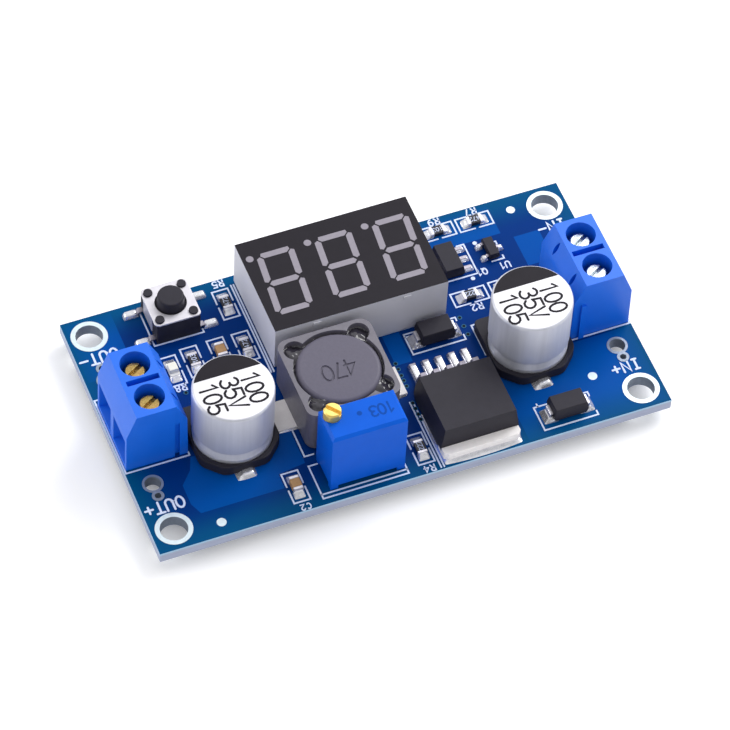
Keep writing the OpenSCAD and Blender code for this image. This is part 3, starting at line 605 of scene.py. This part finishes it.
def finished_piece(name, shape, slot, material=None, smooth=False):
    """Turns a shape into a piece that stays with the board, with its finish."""
    bmesh.ops.recalc_face_normals(shape, faces=shape.faces)
    for face in shape.faces:
        face.smooth = smooth
    piece = as_object(name, shape)
    piece.data.materials.append(finishes[material or slot])
    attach(piece, "root")
    return piece


flat = face_at(board_corner)
print("the board's drawing plane is", round(flat.translation.z / MM, 2), "mm up")

# %% [markdown]
# ## Drawn lines
# Printed lines and figures are strokes of one width with round ends. Each segment of a stroke
# is a low bar that meets its neighbour on a mitre, so no ink lies twice in one place. Bars
# that overlapped at one height would flicker between the two faces.

# %% Lay strokes as ink
# A corner whose half angle has a smaller cosine than this is cut blunt
MITRE_LIMIT = 0.6


def curve(cx, cy, rx, ry, start, end, steps=8):
    """Points along part of an ellipse, with angles in degrees."""
    angles = [math.radians(start + (end - start) * i / steps) for i in range(steps + 1)]
    return [(cx + rx * math.cos(a), cy + ry * math.sin(a)) for a in angles]


def disc(x, y, radius, corners):
    """The outline of a disc with this many corners."""
    return curve(x, y, radius, radius, 0, 360 - 360 / corners, corners - 1)


def add_stroke(shape, points, width, plane, thickness):
    """Adds one stroke through the points, mitred at its corners and round at its ends."""
    closed = math.dist(points[0], points[-1]) < 0.001
    line = [Vector(point) for point in (points[:-1] if closed else points)]
    count = len(line)
    rails = []
    for i, point in enumerate(line):
        into = point - line[i - 1] if closed or i else line[1] - point
        out = line[(i + 1) % count] - point if closed or i < count - 1 else into
        first, second = into.normalized().orthogonal(), out.normalized().orthogonal()
        middle = (first + second).normalized()
        rails.append(middle * (width / 2 / max(MITRE_LIMIT, middle.dot(first))))
    for i in range(count if closed else count - 1):
        j = (i + 1) % count
        bar = [line[i] + rails[i], line[i] - rails[i], line[j] - rails[j], line[j] + rails[j]]
        add_prism(shape, bar, plane, thickness)
    if not closed:
        for point, rail, turn in ((line[0], rails[0], 180), (line[-1], rails[-1], -180)):
            base = math.degrees(math.atan2(rail.y, rail.x))
            cap = curve(point.x, point.y, width / 2, width / 2, base, base + turn, 5)
            add_prism(shape, cap, plane, thickness)


print("a mitre reaches at most", round(0.5 / MITRE_LIMIT, 2), "of a stroke's width")

# %% [markdown]
# ## Figures
# A printed circuit's figures are drawn by a pen of one width, so each is a few strokes in a
# box one unit high and 0.6 wide. Blender's own text could be turned into a mesh instead, but
# its letters have outlines, and a pen's strokes look right at every width.

# %% Draw the figures
LAYER_STEP = 0.002
FIGURES = {
    "0": [curve(0.3, 0.5, 0.28, 0.5, 0, 360, 14)],
    "1": [[(0.12, 0.78), (0.36, 1), (0.36, 0)]],
    "2": [curve(0.3, 0.72, 0.27, 0.28, 165, -40) + [(0.02, 0), (0.6, 0)]],
    "3": [curve(0.28, 0.75, 0.26, 0.25, 150, -90), curve(0.28, 0.26, 0.3, 0.26, 90, -150)],
    "4": [[(0.45, 0), (0.45, 1), (0, 0.3), (0.62, 0.3)]],
    "5": [[(0.56, 1), (0.1, 1), (0.05, 0.54)] + curve(0.28, 0.31, 0.3, 0.31, 130, -150)],
    "7": [[(0.02, 1), (0.58, 1), (0.2, 0)]],
    "8": [curve(0.3, 0.75, 0.23, 0.25, -90, 270, 12), curve(0.3, 0.25, 0.28, 0.25, 90, 450, 12)],
    "9": [curve(0.3, 0.7, 0.28, 0.3, 0, 360, 12), curve(0.1, 0.5, 0.48, 0.5, -80, 0, 5)],
    "C": [curve(0.32, 0.5, 0.3, 0.5, 50, 310)],
    "I": [[(0.3, 0), (0.3, 1)], [(0.12, 0), (0.48, 0)], [(0.12, 1), (0.48, 1)]],
    "N": [[(0.02, 0), (0.02, 1), (0.58, 0), (0.58, 1)]],
    "O": [curve(0.3, 0.5, 0.3, 0.5, 0, 360, 14)],
    "Q": [curve(0.3, 0.5, 0.3, 0.5, 0, 360, 14), [(0.35, 0.25), (0.62, -0.02)]],
    "R": [[(0.03, 0), (0.03, 1), (0.3, 1)] + curve(0.32, 0.75, 0.25, 0.25, 90, -90) + [(0.03, 0.5)],
          [(0.3, 0.5), (0.58, 0)]],
    "T": [[(0.3, 0), (0.3, 1)], [(0, 1), (0.6, 1)]],
    "U": [[(0.02, 1), (0.02, 0.3)] + curve(0.3, 0.3, 0.28, 0.3, 180, 360) + [(0.58, 1)]],
    "V": [[(0, 1), (0.3, 0), (0.6, 1)]],
    "+": [[(0, 0.5), (0.6, 0.5)], [(0.3, 0.2), (0.3, 0.8)]],
    "-": [[(0, 0.5), (0.6, 0.5)]],
}


def add_writing(shape, text, plane, height, width, advance, thickness):
    """Adds a word whose first figure starts at the plane's origin, with sizes in mm."""
    for i, letter in enumerate(text):
        # Strokes that cross lie one above the other by a hair, so their faces never coincide
        for layer, stroke in enumerate(FIGURES[letter]):
            points = [(x * height + i * advance, y * height) for x, y in stroke]
            add_stroke(shape, points, width, plane, thickness + LAYER_STEP * layer)


print("figures drawn:", "".join(FIGURES))

# %% [markdown]
# ## Lines round the parts
# White ink draws the outline of every part, so that a hand or a machine can place it. It is
# screen printed after the mask. The lines round the large parts are all different, so they are
# listed. The small chips all have the same two brackets, which are drawn where a chip is found.

# %% List the outlines of the large parts
# The width and the height of the printed lines, in mm; the real ink is about half as high
LINE_WIDTH, INK = 0.2, 0.05
# In mm from the board's front left corner
outlines = [
    [(8.2, 12.8), (8.2, 12.3), (0.15, 12.3), (0.15, 23.7), (8.2, 23.7)],
    [(65.86, 13.7), (65.86, 12.5), (57.85, 12.5), (57.85, 23.7), (65.86, 23.7)],
    [(9.8, 34.2), (9.8, 29.0), (16.2, 29.0), (16.2, 29.5)],
    [(22.2, 7.35), (21.05, 7.35), (21.05, 12)],
    [(21.78, 20.5), (21.78, 34.6)], [(22.12, 20.5), (22.12, 34.6)],
    [(31.95, 5.3), (31.95, 0.85), (20.97, 0.85), (20.97, 5.86), (22.1, 5.86)],
    [(20.97, 1.45), (31.95, 1.45)],
    [(35.9, 0.3), (35.9, 10.5)], [(36.3, 0.3), (36.3, 10.5)], [(36, 21.1), (41, 21.1)],
    [(39, 20.3), (39, 17.05), (45.95, 17.05), (45.95, 17.8)],
    [(45.2, 20.6), (45.95, 20.6), (45.95, 20.1)],
    [(39, 20.25), (40.5, 20.25)], [(39, 19.8), (40.4, 19.8)],
    [(50.25, 5.0), (50.25, 4.6)],
    [(51.7, 4.6), (49.72, 4.6), (49.72, 1.05), (56.75, 1.05), (56.75, 1.65)],
    [(55.95, 4.6), (56.8, 4.6), (56.8, 4.0)],
    [(47.8, 18.75), (47.35, 18.75), (47.35, 14)],
    [(47.2, 26), (51.25, 26), (51.25, 30.8), (50.3, 30.8)],
    [(54.8, 29.9), (55.2, 29.9), (55.2, 29.4)], [(53.6, 27.1), (55.2, 27.1), (55.2, 27.6)],
]
print("outlines of large parts:", len(outlines))

# %% Find the separate solids of a node
def solids_of(name):
    """The box round each separate solid of a node."""
    shape = bmesh.new()
    shape.from_mesh(frame["nodes"][name].data)
    bmesh.ops.remove_doubles(shape, verts=shape.verts, dist=WELD)
    shape.verts.ensure_lookup_table()
    seen, boxes = set(), []
    for first in shape.verts:
        if first.index in seen:
            continue
        seen.add(first.index)
        queue, points = [first], []
        while queue:
            vert = queue.pop()
            points.append(vert.co.copy())
            for other in (edge.other_vert(vert) for edge in vert.link_edges):
                if other.index not in seen:
                    seen.add(other.index)
                    queue.append(other)
        sides = list(zip(*points))
        boxes.append((Vector([min(c) for c in sides]), Vector([max(c) for c in sides])))
    shape.free()
    return boxes


resistors = solids_of("resistor_bodies")
print("resistors on the board:", len(resistors))

# %% Put brackets round the chips
BRACKET_LENGTH, BRACKET_WIDTH, BRACKET_GAP = 4.45, 2.08, 0.6


def brackets(x, y, upright):
    """Two brackets that face each other round a chip."""
    pair = []
    for side in (-1, 1):
        points = [(side * BRACKET_GAP / 2, -BRACKET_WIDTH / 2),
                  (side * BRACKET_LENGTH / 2, -BRACKET_WIDTH / 2),
                  (side * BRACKET_LENGTH / 2, BRACKET_WIDTH / 2),
                  (side * BRACKET_GAP / 2, BRACKET_WIDTH / 2)]
        pair.append([(x - b, y + a) if upright else (x + a, y + b) for a, b in points])
    return pair


for name in ("resistor_bodies", "chip_capacitor_bodies", "indicator_base"):
    for low, high in solids_of(name):
        centre = ((low + high) / 2 - board_corner) / MM
        upright = name != "resistor_bodies" or high.y - low.y < high.x - low.x
        outlines += brackets(centre.x, centre.y, upright)
legend = bmesh.new()
for points in outlines:
    add_stroke(legend, points, LINE_WIDTH, flat, INK)
# A dot marks the first lead of each small package
for x, y in ((50.34, 25.45), (52.64, 30.5)):
    add_prism(legend, disc(x, y, 0.28, 12), flat, INK)
print("legend strokes:", len(outlines))

# %% [markdown]
# ## Words on the board
# The legend names the wires and the parts. The writing stands on its head when the positive
# poles are at the front. The resistors carry a code of three plain figures, which is printed
# on their glaze and reads along the chip.

# %% Print the words
# Each word: its text, the middle of its first figure, its height, its pitch and its stroke
WORDS = [
    ("OUT+", 4.8, 6.3, 1.6, 1.3, 0.27), ("OUT-", 4.8, 29.65, 1.6, 1.3, 0.27),
    ("IN+", 64.05, 6.5, 1.5, 1.3, 0.27), ("IN-", 64.05, 29.7, 1.5, 1.3, 0.27),
    ("R5", 20.75, 35.35, 0.95, 0.8, 0.18), ("R9", 49.5, 35.35, 0.95, 0.85, 0.18),
    ("R7", 54.45, 35.3, 0.95, 0.85, 0.18), ("R2", 49.6, 21.2, 0.95, 0.85, 0.18),
    ("Q1", 52.15, 26.0, 0.95, 0.75, 0.18), ("U1", 55.25, 26.05, 0.95, 0.75, 0.18),
    ("R4", 34.95, 0.6, 0.9, 0.8, 0.17), ("C2", 19.0, 0.5, 0.8, 0.75, 0.16),
    ("R8", 11.05, 22.0, 0.95, 0.8, 0.18),
]
for text, x, y, height, pitch, stroke in WORDS:
    # A word turned half round starts at the far corner of its first figure, 0.6 as wide as high
    start = on_board(x + 0.3 * height, y + height / 2)
    add_writing(legend, text, face_at(start, 180), height, stroke, pitch, INK)
finished_piece("legend_print", legend, "legend_white")
print("words:", len(WORDS))

# %% Print a code on each resistor
CODES = ("103", "472", "222")
codes = bmesh.new()
for i, (low, high) in enumerate(resistors):
    sideways = high.y - low.y > high.x - low.x
    # From the chip's middle back by half a code's length, and across by half its height
    back = Vector((0.65, 0.3, 0)) if sideways else Vector((0.3, -0.65, 0))
    plane = face_at(top_middle(low, high) + back * MM, 180 if sideways else 90)
    add_writing(codes, CODES[i % len(CODES)], plane, height=0.6, width=0.08, advance=0.47,
                thickness=0.008)
finished_piece("resistor_codes", codes, "legend_white")
print("codes:", len(resistors))

# %% [markdown]
# ## Copper that shows
# Small plated holes carry current from one side to the other; each is a mask-covered ring
# round a near-black dot, which is painted shade in place of the hole. Bare round spots let a
# placing machine find the board. They are discs laid on the board, because drilling holes this
# small would add much and show nothing more.

# %% Plated holes and bare spots
VIAS = [(36.45, y) for y in (16.5, 15.6, 14.6, 13.8, 12.9)]
VIAS += [(36.22, y) for y in (10.3, 9.4, 8.5, 7.7)]
VIAS += [(46.47, 20.36), (46.47, 18.98), (46.47, 17.66), (10.97, 21.1)]
# Each bare spot: its middle and its diameter
SPOTS = ((8.42, 1.85, 1.2), (58.9, 33.9, 1.1), (58.36, 6.6, 1.17))
RING_RADIUS, HOLE_RADIUS = 0.3, 0.2
rings, shade_dots, spots = bmesh.new(), bmesh.new(), bmesh.new()
for x, y in VIAS:
    # Both stand a little above the ink, which crosses some of them
    add_prism(rings, disc(x, y, RING_RADIUS, 16), flat, INK + 0.006)
    # The near-black dot is painted shade, where the hole would be dark
    add_prism(shade_dots, disc(x, y, HOLE_RADIUS, 12), flat, INK + 0.012)
for x, y, across in SPOTS:
    add_prism(spots, disc(x, y, across / 2, 24), flat, 0.02)
finished_piece("via_rings", rings, "solder_mask", material="via_ring")
finished_piece("via_shade_discs", shade_dots, "solder_mask", material="via_painted_shade")
finished_piece("bare_spots", spots, "tinned_copper")
print("plated holes:", len(VIAS), "bare spots:", len(SPOTS))

# %% [markdown]
# ## Solder under the surface-mounted parts
# Paste melts under each foot and climbs its side, so the joint is a hollow curve that is high
# at the foot and thin at the pad's rim. Sculpting 69 joints by hand would be slow, and they
# wouldn't follow a part that moves. Instead each pad becomes a fine grid whose height falls off
# with the distance from the nearest foot, with a little waviness from freezing.

# %% Find the feet
FEET = [
    "resistor_ends", "chip_capacitor_ends", "indicator_base",
    "out_capacitor_leads", "in_capacitor_leads", "inductor_terminals",
    "regulator_tab", "regulator_leads", "output_diode_leads", "input_diode_leads",
    "switch_leads", "transistor_leads", "reference_leads", "controller_leads",
]
feet = [box for name in FEET for box in solids_of(name)]
print("feet that stand in solder:", len(feet))

# %% Shape one joint
CELL = 0.14 * MM
SKIN = 0.05 * MM
CLIMB_REACH = 0.42 * MM
CLIMB_SHARE = 0.75
CLIMB_MOST = 0.6 * MM
# A foot lower than this is covered by a dome of solder
LOW_FOOT = 0.35 * MM
DOME = 0.12 * MM
WAVE_HEIGHT = 0.02 * MM
WAVE_WIDTH = 0.7
# How fast the climb falls off, how square the pad's rim is, and how much its corners pull in
CLIMB_FALL, RIM_POWER, ROUNDING = 1.5, 8, 0.12
FEWEST_CELLS = 6


def outside(x, y, box):
    """How far a point lies outside a box, seen from above."""
    low, high = box
    return math.hypot(max(low.x - x, 0, x - high.x), max(low.y - y, 0, y - high.y))


def solder_height(x, y, near, face_z, up):
    """Height of the solder over one place, from the feet near it."""
    height = SKIN
    for foot in near:
        tall = foot[1].z - face_z if up > 0 else face_z - foot[0].z
        climb = tall + DOME if tall < LOW_FOOT else min(CLIMB_SHARE * tall, CLIMB_MOST)
        fall = math.exp(-(outside(x, y, foot) / CLIMB_REACH) ** CLIMB_FALL)
        height = max(height, SKIN + climb * fall)
    return height + WAVE_HEIGHT * noise.noise(Vector((x, y, 0)) * per_mm(WAVE_WIDTH))


def add_joint(shape, low, high, up):
    """Adds the solder of one pad, on the face that looks along up."""
    face_z = board_high.z if up > 0 else board_low.z
    near = [foot for foot in feet if foot[0].x < high.x and foot[1].x > low.x
            and foot[0].y < high.y and foot[1].y > low.y]
    columns = max(FEWEST_CELLS, round((high.x - low.x) / CELL))
    rows = max(FEWEST_CELLS, round((high.y - low.y) / CELL))
    middle, half = (low + high) / 2, (high - low) / 2
    grid = []
    for j in range(rows + 1):
        line = []
        for i in range(columns + 1):
            u, v = 2 * i / columns - 1, 2 * j / rows - 1
            x = middle.x + half.x * u * math.sqrt(1 - ROUNDING * v * v)
            y = middle.y + half.y * v * math.sqrt(1 - ROUNDING * u * u)
            rim = (1 - u ** RIM_POWER) * (1 - v ** RIM_POWER)
            height = solder_height(x, y, near, face_z, up) * rim
            line.append(shape.verts.new((x, y, face_z + up * height)))
        grid.append(line)
    for j in range(rows):
        for i in range(columns):
            shape.faces.new((grid[j][i], grid[j][i + 1], grid[j + 1][i + 1], grid[j + 1][i]))


print("cells of solder are", round(CELL / MM, 2), "mm wide")

# %% Melt solder round every foot
melted = bmesh.new()
pads = solids_of("surface_solder")
half_way = board_low.z + 0.5 * (board_high.z - board_low.z)
for low, high in pads:
    add_joint(melted, low, high, 1 if low.z > half_way else -1)
solder = finished_piece("solder_fillets", melted, "solder", smooth=True)
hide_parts("surface_solder")
print("pads soldered:", len(pads))

# %% [markdown]
# ## The capacitors' print
# The black field marks the negative lead, and three lines give the ratings: capacitance,
# voltage and temperature, in plain figures. The ink lies on the can's closed end.

# %% Print the cans
PRINT = 0.02
FIELD_RADIUS, FIELD_CHORD = 4.72, 2.1
FIGURE_HEIGHT, FIRST_FIGURE = 2.2, 1.35
# Each line of print: its text, and how far its middle lies beside the can's middle
LINES = (("100", 2.35), ("35V", -0.25), ("105", -2.9))
chord_angle = math.degrees(math.asin(FIELD_CHORD / FIELD_RADIUS))
field = curve(0, 0, FIELD_RADIUS, FIELD_RADIUS, chord_angle, 180 - chord_angle, 24)
for side in ("out", "in"):
    top = top_middle(*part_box(side + "_capacitor_can"))
    ink = bmesh.new()
    add_prism(ink, field, face_at(top), PRINT)
    for text, offset in LINES:
        start = top + Vector((offset - FIGURE_HEIGHT / 2, FIRST_FIGURE, 0)) * MM
        add_writing(ink, text, face_at(start, -90), FIGURE_HEIGHT, width=0.3, advance=1.55,
                    thickness=PRINT)
    finished_piece(side + "_capacitor_print", ink, "mark_black")
print("can print lies", round(top.z / MM, 2), "mm up")

# %% [markdown]
# ## The inductor's number
# The number is pressed into the ferrite drum before it is fired, so it is a groove and not
# ink. A tool shaped like the figures cuts it from a copy of the drum, and the edges are then
# bevelled. The result is kept as a plain mesh, so the tool can go.

# %% Press the number into the drum
NUMBER_DEPTH = 0.16
NUMBER_EDGE = 0.04
# Where the number starts, from the drum's middle: it reads from behind
NUMBER_START = Vector((2.0, 0.75, -NUMBER_DEPTH)) * MM
drum_top = top_middle(*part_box("inductor_drum"))
drum = rounded("inductor_drum", 0)
tool_shape = bmesh.new()
add_writing(tool_shape, "470", face_at(drum_top + NUMBER_START, 180), height=2.3, width=0.26,
            advance=1.45, thickness=0.5)
tool = as_object("number_tool", tool_shape)
cut = drum.modifiers.new("cut", "BOOLEAN")
cut.object = tool
cut.solver = "EXACT"
cut.use_self = True
add_bevel(drum, NUMBER_EDGE, steps=1, sharp=40)
shaped = drum.evaluated_get(bpy.context.evaluated_depsgraph_get())
pressed = bpy.data.meshes.new_from_object(shaped)
drum.modifiers.clear()
drum.data = pressed
for face in pressed.polygons:
    face.use_smooth = abs(face.normal.z) < 0.99
bpy.data.objects.remove(tool)
print("drum faces:", len(pressed.polygons))

# %% [markdown]
# ## The inductor's adhesive
# Drops of adhesive hold the drum in its shield. They fill the four pockets in the shield's
# corners and run round in the gap, with a skin that climbs both walls. A fine grid follows a
# height worked out from the distance to the walls, and slow noise gives the lumps.

# %% Work out the adhesive's height
# Radii and places in mm, from the drum's middle
DRUM_RADIUS, BORE_RADIUS = 5.2, 5.5
POCKET_RADIUS, POCKET_AT = 1.35, 4.1
GLUE_DEPTH = 0.75
POCKET_DOME = 0.3
# Each climb up a wall: its height, and how far from the wall it fades or fills
DRUM_CLIMB, DRUM_FADE = 0.22, 0.18
WALL_CLIMB, WALL_FILL = 0.3, 0.1
# Each noise: its height in mm, its lumps per mm, and the level it is sliced at
LUMPS = ((0.32, 0.9, 3.1), (0.1, 2.6, 7.7))
glue_base = drum_top.z / MM - GLUE_DEPTH


def glue_height(x, y):
    """Height of the adhesive over a place beside the drum's middle, in mm."""
    reach = math.hypot(x, y)
    pocket = min(math.hypot(x - sx * POCKET_AT, y - sy * POCKET_AT)
                 for sx in (-1, 1) for sy in (-1, 1))
    wall = max(0.0, reach - BORE_RADIUS if pocket > POCKET_RADIUS else pocket - POCKET_RADIUS)
    lump = sum(height * noise.noise(Vector((x * often, y * often, level)))
               for height, often, level in LUMPS)
    dome = POCKET_DOME * max(0.0, 1 - (pocket / POCKET_RADIUS) ** 2)
    drum_climb = DRUM_CLIMB * math.exp(-max(0.0, reach - DRUM_RADIUS) / DRUM_FADE)
    wall_climb = WALL_CLIMB * min(1.0, wall / WALL_FILL)
    return glue_base + lump + dome + (drum_climb + wall_climb)


print("adhesive lies about", GLUE_DEPTH, "mm below the drum's top")

# %% Run the adhesive into the gap
GLUE_CELL = 0.12
TUCK_UNDER, TUCK_BEHIND = 0.15, 0.12
glue = bmesh.new()
corners = {}
count = math.ceil((POCKET_AT + POCKET_RADIUS + 0.2) / GLUE_CELL)
for i in range(-count, count):
    for j in range(-count, count):
        x, y = (i + 0.5) * GLUE_CELL, (j + 0.5) * GLUE_CELL
        reach = math.hypot(x, y)
        pocket = math.hypot(abs(x) - POCKET_AT, abs(y) - POCKET_AT)
        in_wall = reach > BORE_RADIUS + TUCK_BEHIND and pocket > POCKET_RADIUS + TUCK_BEHIND
        if reach < DRUM_RADIUS - TUCK_UNDER or in_wall:
            continue
        ring = []
        for a, b in ((i, j), (i + 1, j), (i + 1, j + 1), (i, j + 1)):
            if (a, b) not in corners:
                gx, gy = a * GLUE_CELL, b * GLUE_CELL
                corners[a, b] = glue.verts.new((drum_top.x + gx * MM, drum_top.y + gy * MM,
                                                glue_height(gx, gy) * MM))
            ring.append(corners[a, b])
        glue.faces.new(ring)
drops = finished_piece("adhesive_drops", glue, "adhesive", smooth=True)
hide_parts("inductor_adhesive")
print("adhesive faces:", len(drops.data.polygons))

# %% [markdown]
# ## The trimmer's stamp
# A figure for the full resistance and a dot are stamped on the case in a blue only a little
# darker than its plastic.

# %% Stamp the trimmer
STAMP = 0.012
# Where the stamp's number starts, from the case's front left corner
STAMP_START = Vector((8.6, 3.2, 0)) * MM
case_low, case_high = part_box("trimmer_case")
case_corner = Vector((case_low.x, case_low.y, case_high.z))
stamp = bmesh.new()
add_prism(stamp, disc(4.4, 2.75, 0.33, 16), face_at(case_corner), STAMP)
add_writing(stamp, "103", face_at(case_corner + STAMP_START, 180), height=1.5, width=0.26,
            advance=1.02, thickness=STAMP)
finished_piece("trimmer_mark", stamp, "trimmer_blue", material="trimmer_stamp")
print("trimmer top at", round(case_high.z / MM, 2), "mm")

# %% [markdown]
# ## The floor
# The module lies on plain white board. The floor glows a little for the camera only, which
# lifts it to white, keeps the module's shadow on it, and throws no extra light on the module.

# %% Lay the floor
FLOOR_HALF = 3.0
FLOOR_GLOW = 0.2
floor_shape = bmesh.new()
bmesh.ops.create_grid(floor_shape, x_segments=1, y_segments=1, size=FLOOR_HALF)
floor = as_object("floor", floor_shape)
floor.location.z = cad_box[0].z
paper = bpy.data.materials.new("white_board")
paper.use_nodes = True
tree = paper.node_tree
shader = tree.nodes["Principled BSDF"]
shader.inputs["Roughness"].default_value = 0.9
shader.inputs["Specular IOR Level"].default_value = 0.1
shader.inputs["Base Color"].default_value = linear("#F2F2F4")
shader.inputs["Emission Color"].default_value = linear("#FFFFFF")
rays = node(tree, "ShaderNodeLightPath")
seen = node(tree, "ShaderNodeMath", {0: rays.outputs["Is Camera Ray"], 1: FLOOR_GLOW},
            operation="MULTIPLY")
tree.links.new(seen.outputs[0], shader.inputs["Emission Strength"])
floor.data.materials.append(paper)
print("floor", 2 * FLOOR_HALF, "m wide, at", round(floor.location.z / MM, 2), "mm")

# %% [markdown]
# ## The light
# White walls all round give an even light. In what metal and gloss reflect, the walls are
# brighter behind and above than in front, as a tent with one open side is, and that shapes the
# cans and the screws. Two square lamps add direction: the key from the right and behind, and a
# weak one from the left.

# %% Surround the module with white walls
WORLD_LIGHT = 0.82
BRIGHTEST_WAY = (0.25, 0.54, 0.80)
world = bpy.data.worlds.new("studio")
bpy.context.scene.world = world
world.use_nodes = True
tree = world.node_tree
rays = node(tree, "ShaderNodeLightPath")
way = node(tree, "ShaderNodeTexCoord").outputs["Generated"]
facing = node(tree, "ShaderNodeVectorMath", {0: way, 1: BRIGHTEST_WAY},
              operation="DOT_PRODUCT").outputs["Value"]
tent = node(tree, "ShaderNodeMapRange", {"Value": facing, "From Min": -0.5, "From Max": 0.9,
                                         "To Min": 0.2, "To Max": 1.05}).outputs[0]
unseen = node(tree, "ShaderNodeMix",
              {0: rays.outputs["Is Glossy Ray"], 2: WORLD_LIGHT, 3: tent}).outputs[0]
straight = node(tree, "ShaderNodeMath",
                {0: rays.outputs["Is Camera Ray"], 1: rays.outputs["Is Transmission Ray"]},
                operation="MAXIMUM").outputs[0]
strength = node(tree, "ShaderNodeMix", {0: straight, 2: unseen, 3: 1.0}).outputs[0]
background = tree.nodes["Background"]
tree.links.new(strength, background.inputs["Strength"])
background.inputs["Color"].default_value = linear("#FFFFFF")
print("the walls' light:", WORLD_LIGHT)

# %% Hang two lamps
def softbox(name, place, size, power):
    """A square area lamp that looks at the module from a place in mm."""
    lamp = bpy.data.lights.new(name, "AREA")
    lamp.size = size * MM
    lamp.energy = power
    made = bpy.data.objects.new(name, lamp)
    made.location = Vector(place) * MM
    made.rotation_euler = (-made.location).to_track_quat("-Z", "Y").to_euler()
    bpy.context.scene.collection.objects.link(made)


softbox("key", place=(340, 170, 330), size=320, power=2.0)
softbox("side", place=(-420, 240, 120), size=240, power=0.65)
print("lamps:", len(bpy.data.lights))
